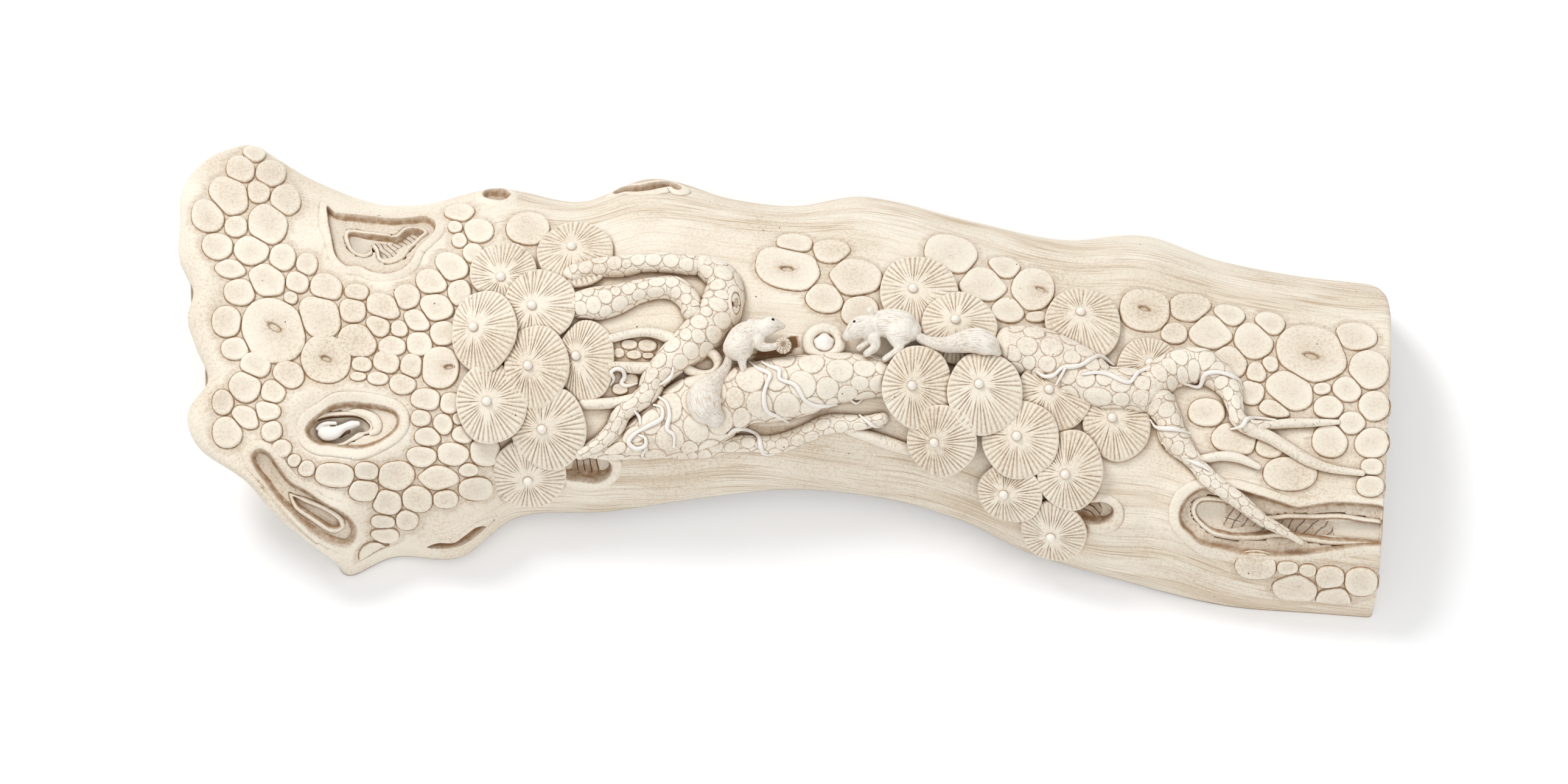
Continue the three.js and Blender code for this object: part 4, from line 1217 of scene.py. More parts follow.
@dataclass
class Pocket:
    """A hollow cut into the trunk's own clay: its soft brim, its crisp edge, its wall and its scratched floor.

    The profile's rows are the distance in from the edge in millimetres, the height and the wash, which on the
    walls and floor is also painted shade.
    """

    name: str
    sheet: Sheet
    outline: Sequence[Spot]
    spine: Sequence[Spot]
    depth: float
    brim: float = 0.35
    slope: float = 0.45
    scratch: float = 0.0
    scratch_turn: float = 0.3
    scratch_pitch: float = 1.5
    around: int = 150
    floor_rings: int = 10
    floor_wash_and_shade: float = 0.45
    wall_wash_and_shade: float = 1.0

    def plane(self) -> tuple[Array, Array, float]:
        """The edge and the spine in the vault's own plane, and the plane's share-to-length scale."""
        edge = SIGHT.on_vault(self.sheet.pixel(rounded(self.outline, self.around)))
        spine = SIGHT.on_vault(self.sheet.pixel(self.spine))
        x, v = edge.mean(axis=0)
        scale = float(np.linalg.norm(VAULT.point(x, v + 0.02) - VAULT.point(x, v - 0.02)) / 0.04)
        flat = np.array([1.0, scale])
        return edge * flat, spine * flat, scale

    def build(self) -> bpy.types.Object:
        """Makes the hollow as one closed piece.

        Returns:
            The finished piece.
        """
        edge, spine, scale = self.plane()
        target = nearest_on(edge, spine)
        toward = target - edge
        room = np.linalg.norm(toward, axis=1)
        toward /= np.maximum(room, 1e-6)[:, None]
        lip, drop = self.brim, self.depth
        inner = [other for other in POCKETS if other.name.startswith(self.name + "_")]
        deep = max([other.depth + 1.5 for other in inner], default=0.8)
        collar = [(-2.4, -deep, 0.0), (-2.4, -0.1, 0.0), (-1.7, 0.12, 0.0), (-0.9, lip * 0.8, 0.0),
                  (-0.3, lip, 0.05), (0.0, lip * 0.75, 0.5)]
        if lip < 0:
            collar = [(-1.1, lip - 1.0, 0.0), (-1.1, lip - 0.4, 0.3), (-0.8, lip - 0.1, 0.25), (-0.45, lip, 0.0),
                      (-0.15, lip, 0.1), (0.0, lip - 0.1, 0.7)]
        # The walls are painted darker: the wash and painted shade inside the hollow.
        stops = collar + [(self.slope * 0.45, -drop * 0.45, 0.9 * self.wall_wash_and_shade),
                          (self.slope, -drop * 0.92, self.wall_wash_and_shade)]
        points, wash_and_shade = [], []
        for inward, height, tone in stops:
            step = np.minimum(inward, room * 0.8)
            points.append(self.lay(edge + toward * step[:, None], height, scale))
            wash_and_shade.append(np.full(self.around, tone))
        start = np.minimum(self.slope, room * 0.8)
        for i in range(1, self.floor_rings + 1):
            share = i / self.floor_rings * 0.97
            flat = edge + toward * (start + (room - start) * share)[:, None]
            height = np.full(self.around, -drop)
            for other in inner:
                height = np.minimum(height, -other.carve(flat[:, 0], flat[:, 1] / scale))
            points.append(self.lay(flat, height, scale))
            # The floor is painted darker towards the walls: wash and painted shade.
            wash_and_shade.append(np.full(self.around, self.floor_wash_and_shade * (1.1 - share * 0.5)))
        rings = len(points)
        last = (rings - 1) * self.around
        points.append(self.lay(edge.mean(axis=0)[None], -max(drop, deep) - 1.0, scale))
        wash_and_shade.append(np.zeros(1))
        faces = grid_faces(rings, self.around) + fan(0, self.around, rings * self.around)
        faces.append(tuple(last + k for k in range(self.around)))
        obj = SHOP.mesh(self.name, np.concatenate(points), faces)
        paint(obj, "wash_and_shade", np.concatenate(wash_and_shade))
        if self.scratch:
            self.mark(obj, rings)
        select_only(obj)
        bpy.ops.object.mode_set(mode="EDIT")
        bpy.ops.mesh.select_all(action="SELECT")
        bpy.ops.mesh.normals_make_consistent(inside=False)
        bpy.ops.object.mode_set(mode="OBJECT")
        SHOP.remember(obj)
        return SHOP.dress(obj, Finish.TRUNK)

    def mark(self, obj: bpy.types.Object, rings: int) -> None:
        """Keeps where the floor's scratched lines run: a new line at each whole number."""
        x, y, _ = (mesh_points(obj) / MM - VAULT.shift).T
        cos, sin = math.cos(self.scratch_turn), math.sin(self.scratch_turn)
        a, b = x * cos + y * sin, y * cos - x * sin
        paint(obj, "stroke", (a + 0.25 * np.sin(b * 0.8) + 0.1 * np.sin(b * 2.1 + 1)) / self.scratch_pitch)
        weight = np.zeros(len(x))
        weight[(rings - self.floor_rings) * self.around:rings * self.around] = self.scratch
        paint(obj, "scratched", weight)

    def lay(self, flat: Array, height: Array | float, scale: float) -> Array:
        """Points of the hollow from its plane, within the trunk's ends."""
        x, v = flat[:, 0], np.clip(flat[:, 1] / scale, -0.99, 0.99)
        left, right = VAULT.ends(v)
        return VAULT.skin(np.clip(x, left + 0.5, right - 0.25), v, height)

    def carve(self, x: Array, v: Array) -> Array:
        """How deep the trunk's skin is sunk under the hollow."""
        edge, spine, scale = self.plane()
        away = edge - nearest_on(edge, spine)
        grown = edge + away / np.maximum(np.linalg.norm(away, axis=1), 1e-6)[:, None] * 0.9
        return in_polygon(np.stack([x, v * scale], axis=1), grown) * (self.depth + 1.0)


def rounded(corners: Sequence[Spot], count: int) -> Array:
    """Evenly spaced points of a smooth closed curve through corners."""
    knots = np.array([*corners[-2:], *corners, *corners[:3]], float)
    at = run_along(knots)
    curve = through(at, knots, np.linspace(at[2], at[-3], 1200, endpoint=False))
    run = run_along(curve)
    even = np.linspace(0, run[-1], count, endpoint=False)
    return np.stack([np.interp(even, run, column) for column in curve.T], axis=1)


def nearest_on(spots: Array, line: Array) -> Array:
    """The nearest points on a line of corners."""
    best, reach = np.zeros_like(spots), np.full(len(spots), np.inf)
    for a, b in zip(line[:-1], line[1:]):
        share = np.clip((spots - a) @ (b - a) / np.dot(b - a, b - a), 0, 1)
        foot = a + share[:, None] * (b - a)
        gap = np.linalg.norm(spots - foot, axis=1)
        closer = gap < reach
        best[closer], reach[closer] = foot[closer], gap[closer]
    return best


def paint(obj: bpy.types.Object, name: str, values: Array) -> None:
    """Keeps a number for each corner of a mesh."""
    layer = obj.data.attributes.new(name, "FLOAT", "POINT")
    layer.data.foreach_set("value", np.asarray(values, np.float32))


def value_noise(x: Array, y: Array, seed: int) -> Array:
    """Smooth noise between -1 and 1 over a lattice of unit cells."""
    table = np.random.default_rng(seed).uniform(-1, 1, (97, 89))
    i, j = np.floor(x).astype(int), np.floor(y).astype(int)
    a, b = x - i, y - j
    a, b = a * a * (3 - 2 * a), b * b * (3 - 2 * b)

    def knot(di: int, dj: int) -> Array:
        return table[(i + di) % 97, (j + dj) % 89]

    return (knot(0, 0) * (1 - a) + knot(1, 0) * a) * (1 - b) + (knot(0, 1) * (1 - a) + knot(1, 1) * a) * b


def in_polygon(spots: Array, border: Array) -> Array:
    """Which spots lie inside a closed outline."""
    inside = np.zeros(len(spots), bool)
    for (x0, y0), (x1, y1) in zip(border, np.roll(border, -1, axis=0)):
        crosses = (y0 > spots[:, 1]) != (y1 > spots[:, 1])
        with np.errstate(divide="ignore", invalid="ignore"):
            at = x0 + (spots[:, 1] - y0) * (x1 - x0) / (y1 - y0)
        inside ^= crosses & (spots[:, 0] < at)
    return inside


@dataclass
class Limb:
    """A limb of oval section along stops, each a point with a half width and a half height."""

    stops: Array
    up: Array
    sides: int = 22
    step: float = 0.6

    def __post_init__(self) -> None:
        """Samples the limb's middle line."""
        if self.stops.shape[1] == 4:
            self.stops = np.column_stack([self.stops, self.stops[:, 3]])
        at = run_along(self.stops[:, :3])
        rows = through(at, self.stops, np.linspace(0, at[-1], max(6, int(at[-1] / self.step))))
        self.line, self.wide, self.high = rows[:, :3], rows[:, 3], rows[:, 4]
        self.reach = run_along(self.line)
        self.tangent = unit(np.gradient(self.line, axis=0))
        self.side = unit(np.cross(self.tangent, self.up))
        self.rise = np.cross(self.side, self.tangent)

    def at(self, s: Array, values: Array) -> Array:
        """Rows of values of the middle line at distances along."""
        return np.stack([np.interp(s, self.reach, values[:, k]) for k in range(3)], axis=1)

    def surface(self, s: Array, angle: Array, height: Array | float = 0.0) -> Array:
        """Points of the limb's surface at distances along and angles around it."""
        wide = np.interp(s, self.reach, self.wide) + height
        high = np.interp(s, self.reach, self.high) + height
        out = self.at(s, self.side) * (wide * np.cos(angle))[:, None]
        return self.at(s, self.line) + out + self.at(s, self.rise) * (high * np.sin(angle))[:, None]

    def mesh(self) -> tuple[Array, list[tuple[int, ...]]]:
        """Points and faces of the limb, with domed ends."""
        angle = np.linspace(0, 2 * math.pi, self.sides, endpoint=False)
        dome = ((0.95, 0.3), (0.75, 0.66), (0.4, 0.92))
        rings = [self.cap_ring(0, -1, angle, share, ahead) for share, ahead in reversed(dome)]
        rings += [self.surface(np.full(self.sides, s), angle) for s in self.reach]
        rings += [self.cap_ring(-1, 1, angle, share, ahead) for share, ahead in dome]
        points = np.concatenate(rings)
        faces = grid_faces(len(rings), self.sides)
        tips = [self.line[row] + self.tangent[row] * self.domed(row) * way for row, way in ((0, -1), (-1, 1))]
        count = len(points)
        faces += fan(0, self.sides, count) + fan(count - self.sides, self.sides, count + 1, turned=True)
        return np.concatenate([points, tips]), faces

    def domed(self, row: int) -> float:
        """Length of the dome on an end."""
        return float(min(self.wide[row], self.high[row]))

    def cap_ring(self, row: int, way: int, angle: Array, share: float, ahead: float) -> Array:
        """A ring of a domed end."""
        centre = self.line[row] + self.tangent[row] * self.domed(row) * ahead * way
        out = np.outer(np.cos(angle) * self.wide[row], self.side[row])
        return centre + (out + np.outer(np.sin(angle) * self.high[row], self.rise[row])) * share


BRANCH_RIM = (
    (-0.26, -0.4, 0.0, 0.0), (-0.14, 0.0, 0.0, 0.0), (-0.07, 0.02, 0.0, 0.7), (0.02, 0.01, 0.25, 0.75),
    (0.12, 0.0, 0.85, 0.08), (0.34, 0.0, 1.0, 0.0), (0.8, 0.0, 0.95, 0.0),
)
BRANCH_MIDDLE = ((0.5, 0.86, 0.02), (0.22, 0.84, 0.04))


@dataclass
class Branch:
    """A branch on the trunk, with its bark scales, or bare where its scale size is 0."""

    name: str
    stops: Sequence[tuple[float, float, float, float]]
    scale_size: float
    seed: int
    middle: float = 0.5

    def limb(self) -> Limb:
        """The branch's bare form."""
        placed = []
        for u, v, half, top in self.stops:
            origin, _, _, out = VAULT.seat((u, v))
            height = max(self.middle, top - half)
            placed.append([*(origin + out * height), half, top - height])
        middle = self.stops[len(self.stops) // 2]
        return Limb(np.array(placed), VAULT.seat((middle[0], middle[1]))[3])

    def build(self) -> list[bpy.types.Object]:
        """Makes the branch and the scales on its upper side.

        Returns:
            The finished pieces.
        """
        limb = self.limb()
        points, faces = limb.mesh()
        body = SHOP.mesh(self.name + "_wood", points, faces)
        SHOP.remember(body)
        SHOP.dress(body, Finish.BRANCH, [self.name])
        self.scratch(body, limb)
        if not self.scale_size:
            return [body]
        cells = Cells(self.scale_size * 0.62, self.scale_size, self.seed)
        radius = float((limb.wide + limb.high).mean() / 2)
        length = float(limb.reach[-1])

        def inside(spots: Array) -> Array:
            thick = np.interp(spots[:, 0], limb.reach, limb.wide)
            return (spots[:, 0] > 0.5) & (spots[:, 0] < length - 0.5) & (thick > self.scale_size * 0.75)

        def lay(places: Array, heights: Array) -> Array:
            return limb.surface(np.clip(places[:, 0], 0, length), math.pi / 2 - places[:, 1] / radius, heights)

        wide = radius * math.pi * 0.62
        circles = cells.scatter((0, -wide, length, wide), inside)
        outlines = [circle[:2] + ring for circle, ring in zip(circles, cells.outlines(circles))]
        form = PadForm(min(0.24, self.scale_size * 0.12), BRANCH_RIM, BRANCH_MIDDLE)
        points, faces, wash_and_shade = pad_mesh(outlines, circles[:, :2], lay, form)
        scales = SHOP.mesh(self.name + "_bark", points, faces)
        paint(scales, "wash_and_shade", wash_and_shade)
        return [body, SHOP.dress(scales, Finish.BRANCH)]

    def scratch(self, body: bpy.types.Object, limb: Limb) -> None:
        """Keeps where fine scratched lines ring the wood, with breaks between them."""
        rows = len(limb.reach) + 6
        run = np.repeat(np.linspace(0, limb.reach[-1], rows), limb.sides)
        turn = np.tile(np.arange(limb.sides) * 2 * math.pi / limb.sides, rows)
        stroke = (run + 0.5 * np.sin(turn * 2 + run * 0.9) + 0.3 * np.sin(run * 2.7)) / 1.2
        shown = np.clip(value_noise(run / 1.9, turn * 1.6, self.seed) * 2.2 - 0.6, 0, 0.3)
        paint(body, "stroke", np.append(stroke, (0, 0)))
        paint(body, "scratched", np.append(shown, (0, 0)))


@dataclass
class OvalRing:
    """A closed roll of clay where a branch was broken off."""

    name: str
    at: Spot
    long: float
    wide: float
    roll: float
    turn: float
    rise: float
    steps: int = 64
    sides: int = 14

    def build(self) -> bpy.types.Object:
        """Makes the ring.

        Returns:
            The finished piece.
        """
        origin, along, across, out = VAULT.seat(self.at)
        angles = np.linspace(0, 2 * math.pi, self.steps, endpoint=False)
        cos, sin = math.cos(self.turn), math.sin(self.turn)
        a, b = self.long * np.cos(angles), self.wide * np.sin(angles)
        centre = origin + np.outer(a * cos - b * sin, along) + np.outer(a * sin + b * cos, across)
        spots = VAULT.point(centre[:, 0], VAULT.share(centre[:, 0], centre[:, 1])) + out * self.rise
        tangent = unit(np.roll(spots, -1, axis=0) - np.roll(spots, 1, axis=0))
        side = unit(np.cross(tangent, out))
        up = np.cross(side, tangent)
        turns = np.linspace(0, 2 * math.pi, self.sides, endpoint=False)
        rings = [
            spot + self.roll * (np.outer(np.cos(turns), aside) + np.outer(np.sin(turns), upward))
            for spot, aside, upward in zip(spots, side, up)
        ]
        faces = grid_faces(self.steps + 1, self.sides)
        faces = [tuple(k % (self.steps * self.sides) for k in face) for face in faces]
        obj = SHOP.mesh(self.name + "_roll", np.concatenate(rings), faces)
        SHOP.remember(obj)
        return SHOP.dress(obj, Finish.BRANCH, [self.name])

@dataclass
class NeedleDisc:
    """A pressed disc of pine needles with its bead."""

    number: int
    at: Spot
    size: tuple[float, float]
    rise: float
    lean: tuple[float, float]
    bead: tuple[float, float]
    needles: int = 42
    per_needle: int = 6
    thickness: float = 1.5
    bed: float = 5.0
    sag: float = 42.0
    bead_radius: float = 1.05
    bead_height: float = 1.05

    def build(self) -> bpy.types.Object:
        """Shapes the disc from a circle: its rings are extruded and spread, then the needles are pressed in.

        Returns:
            The finished piece.
        """
        obj = self.plate()
        flat = mesh_points(obj)
        rng = np.random.default_rng(self.number)
        segments = self.needles * self.per_needle
        distance = np.hypot(flat[:, 0], flat[:, 1])
        angle = np.arctan2(flat[:, 1], flat[:, 0]) % (2 * math.pi)
        slot = np.round(angle / (2 * math.pi) * segments).astype(int) % segments
        needle = ((slot + self.per_needle // 2) // self.per_needle) % self.needles
        within = np.abs((slot + self.per_needle // 2) % self.per_needle - self.per_needle // 2)
        above = flat[:, 2] > 0.2
        start = rng.uniform(0.2, 0.34, self.needles)[needle] + 0.04 * np.sin(angle * 2 + rng.uniform(0, 6))
        start += 0.18 * (rng.random(self.needles) < 0.25)[needle]
        stroke = np.clip((distance - start) / 0.16, 0, 1) * np.clip((1.02 - distance) / 0.08, 0.3, 1) * above
        deep = rng.uniform(0.22, 0.34, self.needles)[needle]
        flat[:, 2] -= stroke * deep * np.where(within == 0, 1.0, np.where(within == 1, 0.45, 0.0))
        tone = rng.uniform(0.35, 0.85, self.needles)[needle]
        wash_and_shade = stroke * tone * np.where(within == 0, 1.0, np.where(within == 1, 0.35, 0.0))
        # The disc's lower rim side and its bed are painted darker: painted shade under the rim, with wash.
        wash_and_shade = np.maximum(wash_and_shade, 0.45 * (flat[:, 2] < -0.2))
        turn = rng.uniform(-1, 1, self.needles)[needle] * np.clip(distance - 0.3, 0, 1) * 0.03
        uneven = 1 + 0.014 * np.sin(angle * 5 + rng.uniform(0, 6))
        uneven = uneven + 0.012 * np.sin(angle * 3 + rng.uniform(0, 6))
        uneven -= 0.007 * (within == 0) * (distance > 0.95)
        swung = np.stack([np.cos(angle + turn), np.sin(angle + turn)], axis=1) * (distance * uneven)[:, None]
        flat[:, :2] = swung * self.size
        flat[:, :2] += np.outer(np.clip(1 - distance, 0, 1) * above, self.bead)
        paint(obj, "wash_and_shade", wash_and_shade)
        paint(obj, "bare", 0.12 * np.clip(1 - distance / 0.35, 0, 1) * above)
        self.place(obj, flat)
        bead = self.make_bead()
        bead.select_set(True)
        obj.select_set(True)
        bpy.context.view_layer.objects.active = obj
        bpy.ops.object.join()
        obj.data.polygons.foreach_set("use_smooth", [True] * len(obj.data.polygons))
        SHOP.remember(obj)
        return SHOP.dress(obj, Finish.DISC, [f"needle_disc_{self.number:02d}"])

    def plate(self) -> bpy.types.Object:
        """The bare disc, of radius 1 seen from above, on its bed of clay."""
        first = 0.45
        obj = SHOP.primitive(
            f"needle_disc_{self.number:02d}_pressed", bpy.ops.mesh.primitive_circle_add,
            vertices=self.needles * self.per_needle, radius=first, fill_type="NGON",
        )
        bpy.ops.object.mode_set(mode="EDIT")
        rim = self.thickness / 2
        bpy.ops.transform.translate(value=(0, 0, -self.bed))
        profile = (
            (0.9, -1.5), (0.985, -rim), (1.012, -0.25), (1.01, 0.2), (0.985, 0.48), (0.94, 0.6), (0.87, 0.66),
            (0.78, 0.71), (0.69, 0.76), (0.6, 0.8), (0.51, 0.84), (0.42, 0.88), (0.33, 0.9), (0.22, 0.9),
            (0.1, 0.9),
        )
        reach, level = first, -self.bed
        for share, height in profile:
            bpy.ops.mesh.extrude_region_move(TRANSFORM_OT_translate={"value": (0, 0, height - level)})
            bpy.ops.transform.resize(value=(share / reach, share / reach, 1))
            reach, level = share, height
        bpy.ops.mesh.select_all(action="DESELECT")
        bpy.ops.object.mode_set(mode="OBJECT")
        return obj

    def place(self, obj: bpy.types.Object, flat: Array) -> None:
        """Bends points of the disc's own plane over the trunk and moves them to its seat."""
        origin, axes = VAULT.square_seat(self.at)
        bent = flat.copy()
        bent[:, 2] += self.lean[0] * flat[:, 0] + self.lean[1] * flat[:, 1] - flat[:, 1] ** 2 / (2 * self.sag)
        SHOP.move(obj, origin + axes[2] * self.rise + bent @ axes)

    def make_bead(self) -> bpy.types.Object:
        """The bead that marks where the needles meet."""
        bead = SHOP.primitive(
            "bead", bpy.ops.mesh.primitive_uv_sphere_add, segments=18, ring_count=12, radius=self.bead_radius
        )
        ball = mesh_points(bead)
        # The bead's foot is painted darker where it sits on the disc: wash and painted shade.
        foot = 0.8 * np.clip(0.15 - ball[:, 2] / self.bead_radius, 0, 1)
        self.place(bead, ball + (*self.bead, self.bead_height))
        paint(bead, "wash_and_shade", foot)
        paint(bead, "bare", 0.6 * (foot == 0))
        return bead


def blend_limbs(name: str, limbs: Sequence[Limb], voxel: float, softening: int = 7) -> bpy.types.Object:
    """Joins limbs into one skin with soft transitions.

    Args:
        name: The piece's name.
        limbs: The limbs.
        voxel: The skin's fineness in millimetres.
        softening: How often the skin is smoothed.

    Returns:
        The new object.
    """
    points, faces, count = [], [], 0
    for limb in limbs:
        corners, quads = limb.mesh()
        points.append(corners)
        faces += [tuple(k + count for k in quad) for quad in quads]
        count += len(corners)
    obj = SHOP.mesh(name, np.concatenate(points), faces)
    select_only(obj)
    remesh = obj.modifiers.new("skin", "REMESH")
    remesh.mode = "VOXEL"
    remesh.voxel_size = voxel * MM
    bpy.ops.object.modifier_apply(modifier="skin")
    soften = obj.modifiers.new("soften", "SMOOTH")
    soften.factor = 0.5
    soften.iterations = softening
    bpy.ops.object.modifier_apply(modifier="soften")
    obj.data.polygons.foreach_set("use_smooth", [True] * len(obj.data.polygons))
    return obj


def comb(obj: bpy.types.Object, limbs: Sequence[Limb]) -> None:
    """Keeps how far along and around its nearest limb each corner lies, so that hair can follow the limbs."""
    spots = mesh_points(obj) / MM - VAULT.shift
    along, across = np.zeros(len(spots)), np.zeros(len(spots))
    best, second = np.full(len(spots), 1e3), np.full(len(spots), 1e3)
    for number, limb in enumerate(limbs):
        gaps = np.linalg.norm(spots[:, None] - limb.line[None], axis=2) - limb.wide[None]
        row = gaps.argmin(axis=1)
        gap = gaps[np.arange(len(spots)), row]
        away = spots - limb.line[row]
        ahead = limb.reach[row] + np.sum(away * limb.tangent[row], axis=1)
        turn = np.arctan2(np.sum(away * limb.side[row], axis=1), np.sum(away * limb.rise[row], axis=1))
        closer = gap < best
        second = np.minimum(second, np.where(closer, best, gap))
        along[closer], best[closer] = ahead[closer] + 31 * number, gap[closer]
        across[closer] = turn[closer] * float(limb.wide.max())
    paint(obj, "along", along)
    paint(obj, "across", across)
    paint(obj, "combed", np.clip((second - best) / 0.7 - 0.15, 0, 1))


@dataclass
class Squirrel:
    """A squirrel lying in relief, blended from limbs and a haunch."""

    name: str
    at: Spot
    parts: Sequence[Sequence[tuple[float, float, float, float]]]
    tail: Sequence[tuple[float, float, float, float]]
    eyes: Sequence[tuple[float, float, float]]
    voxel: float = 0.22
    eye_radius: float = 0.36

    def frame(self) -> tuple[Array, Array]:
        """The animal's origin on the trunk, and its axes as rows."""
        return VAULT.square_seat(self.at)

    def lump(self, stops: Sequence[tuple[float, float, float, float]]) -> Limb:
        """One limb of the animal, or a ball where there is a single stop."""
        origin, axes = self.frame()
        rows = np.array(stops, float)
        if len(rows) == 1:
            rows = np.array([rows[0] - (0.1, 0, 0, 0), rows[0] + (0.1, 0, 0, 0)])
        placed = np.concatenate([origin + rows[:, :3] @ axes, rows[:, 3:]], axis=1)
        return Limb(placed, axes[2], sides=16, step=0.5)

    def blend(
        self, name: str, parts: Sequence[Sequence[tuple[float, float, float, float]]]
    ) -> bpy.types.Object:
        """Joins lumps into one skin with soft transitions.

        Args:
            name: The piece's name.
            parts: The lumps' stops.

        Returns:
            The new object.
        """
        limbs = [self.lump(stops) for stops in parts]
        obj = blend_limbs(name, limbs, self.voxel)
        comb(obj, limbs)
        return obj

    def build(self) -> list[bpy.types.Object]:
        """Makes the body, the tail and the eyes.

        Returns:
            The finished pieces.
        """
        body = self.blend(self.name + "_body", self.parts)
        tail = self.blend(self.name + "_brush", [self.tail])
        pieces = [SHOP.dress(body, Finish.SQUIRREL, [self.name])]
        pieces.append(SHOP.dress(tail, Finish.SQUIRREL, [self.name + "_tail"]))
        origin, axes = self.frame()
        for i, spot in enumerate(self.eyes):
            eye = SHOP.primitive(
                f"{self.name}_eye_{i + 1}", bpy.ops.mesh.primitive_uv_sphere_add,
                segments=16, ring_count=10, radius=self.eye_radius,
            )
            SHOP.move(eye, mesh_points(eye) + origin + np.array(spot) @ axes)
            bpy.ops.object.shade_smooth()
            pieces.append(SHOP.dress(eye, Finish.EYE))
        SHOP.remember(body)
        SHOP.remember(tail)
        return pieces


@dataclass
class Nut:
    """The scaled nut that the left squirrel gnaws."""

    owner: Squirrel
    centre: tuple[float, float, float]
    radius: float = 1.9

    def build(self) -> bpy.types.Object:
        """Shapes the nut from a sphere whose faces are inset and pushed out.

        Returns:
            The finished piece.
        """
        obj = SHOP.primitive(
            "nut_scales", bpy.ops.mesh.primitive_uv_sphere_add,
            segments=12, ring_count=8, radius=self.radius * 0.92,
        )
        bpy.ops.object.mode_set(mode="EDIT")
        bpy.ops.mesh.select_all(action="SELECT")
        bpy.ops.mesh.inset(thickness=0.14, use_individual=True)
        bpy.ops.transform.shrink_fatten(value=0.22)
        bpy.ops.object.mode_set(mode="OBJECT")
        origin, axes = self.owner.frame()
        SHOP.move(obj, origin + (mesh_points(obj) + self.centre) @ axes)
        return SHOP.dress(obj, Finish.BRANCH, ["nut"])


@dataclass
class Tendril:
    """A rolled white tendril laid over whatever is there, along pixels of the photograph."""

    number: int
    route: Sequence[Spot]
    radius: float = 0.5
    node: bool = True

    def build(self) -> bpy.types.Object:
        """Rolls the tendril and drapes it.

        Returns:
            The finished piece.
        """
        knots = np.array(self.route, float)
        at = run_along(knots)
        fine = np.linspace(0, at[-1], max(8, int(at[-1] / 3)))
        rays = SIGHT.rays(through(at, knots, fine))
        met = [SHOP.meet(SIGHT.eye, ray) for ray in rays]
        heights = np.array([spot[0][2] if spot else 0.0 for spot in met])
        for _ in range(3):
            spread = np.convolve(np.pad(heights, 2, mode="edge"), np.ones(5) / 5, mode="valid")
            heights = np.maximum(heights, spread)
        level = np.convolve(np.pad(heights, 1, mode="edge"), np.ones(3) / 3, mode="valid") + self.radius * 0.7
        line = SIGHT.eye + rays * ((level - SIGHT.eye[2]) / rays[:, 2])[:, None]
        tip = np.minimum(np.arange(len(line)), np.arange(len(line))[::-1]) / 7
        radius = self.radius * (0.5 + 0.5 * np.clip(tip, 0, 1)) * (1 + 0.12 * np.sin(fine / 9 + self.number))
        limb = Limb(np.column_stack([line, radius]), np.array([0.0, 0.0, 1.0]), sides=12, step=0.35)
        points, faces = limb.mesh()
        obj = SHOP.mesh(f"tendril_{self.number:02d}_rolled", points, faces)
        SHOP.remember(obj)
        return SHOP.dress(obj, Finish.WHITE, [f"tendril_{self.number:02d}"] if self.node else [])


@dataclass
class Kernel:
    """A smooth white lump pressed into a hollow or a ring."""

    name: str
    at: Spot
    size: tuple[float, float, float]
    rise: float

    def build(self) -> bpy.types.Object:
        """Shapes the lump from an uneven sphere.

        Returns:
            The finished piece.
        """
        obj = SHOP.primitive(
            self.name + "_lump", bpy.ops.mesh.primitive_ico_sphere_add, subdivisions=4, radius=1.0
        )
        ball = mesh_points(obj)
        ball *= (1 + 0.06 * np.sin(ball[:, 0] * 5 + 1) + 0.05 * np.sin(ball[:, 1] * 7))[:, None]
        origin, along, across, out = VAULT.seat(self.at)
        SHOP.move(obj, origin + out * self.rise + (ball * self.size) @ np.stack([along, across, out]))
        bpy.ops.object.shade_smooth()
        return SHOP.dress(obj, Finish.WHITE, [self.name])


@dataclass
class PocketLump:
    """Soft lumps that lie in a hollow of the trunk.

    A stop is a place of the sheet, the height of its middle over the trunk's skin, its half width and its half
    height, the last three in millimetres.
    """

    name: str
    sheet: Sheet
    strands: Sequence[Sequence[tuple[float, float, float, float, float]]]
    finish: Finish
    nodes: Sequence[str] = ()

    def build(self) -> bpy.types.Object:
        """Blends the strands into one lump.

        Returns:
            The finished piece.
        """
        limbs = []
        for stops in self.strands:
            rows = np.array(stops, float)
            places = SIGHT.on_vault(self.sheet.pixel(rows[:, :2]))
            bare, out = VAULT.point(places[:, 0], places[:, 1]), VAULT.normal(places[:, 0], places[:, 1])
            spots = bare + out * (VAULT.relief(bare) + rows[:, 2])[:, None]
            limbs.append(Limb(np.column_stack([spots, rows[:, 3:]]), out.mean(axis=0), sides=20, step=0.4))
        obj = blend_limbs(self.name, limbs, 0.14, 4)
        return SHOP.dress(obj, self.finish, self.nodes)


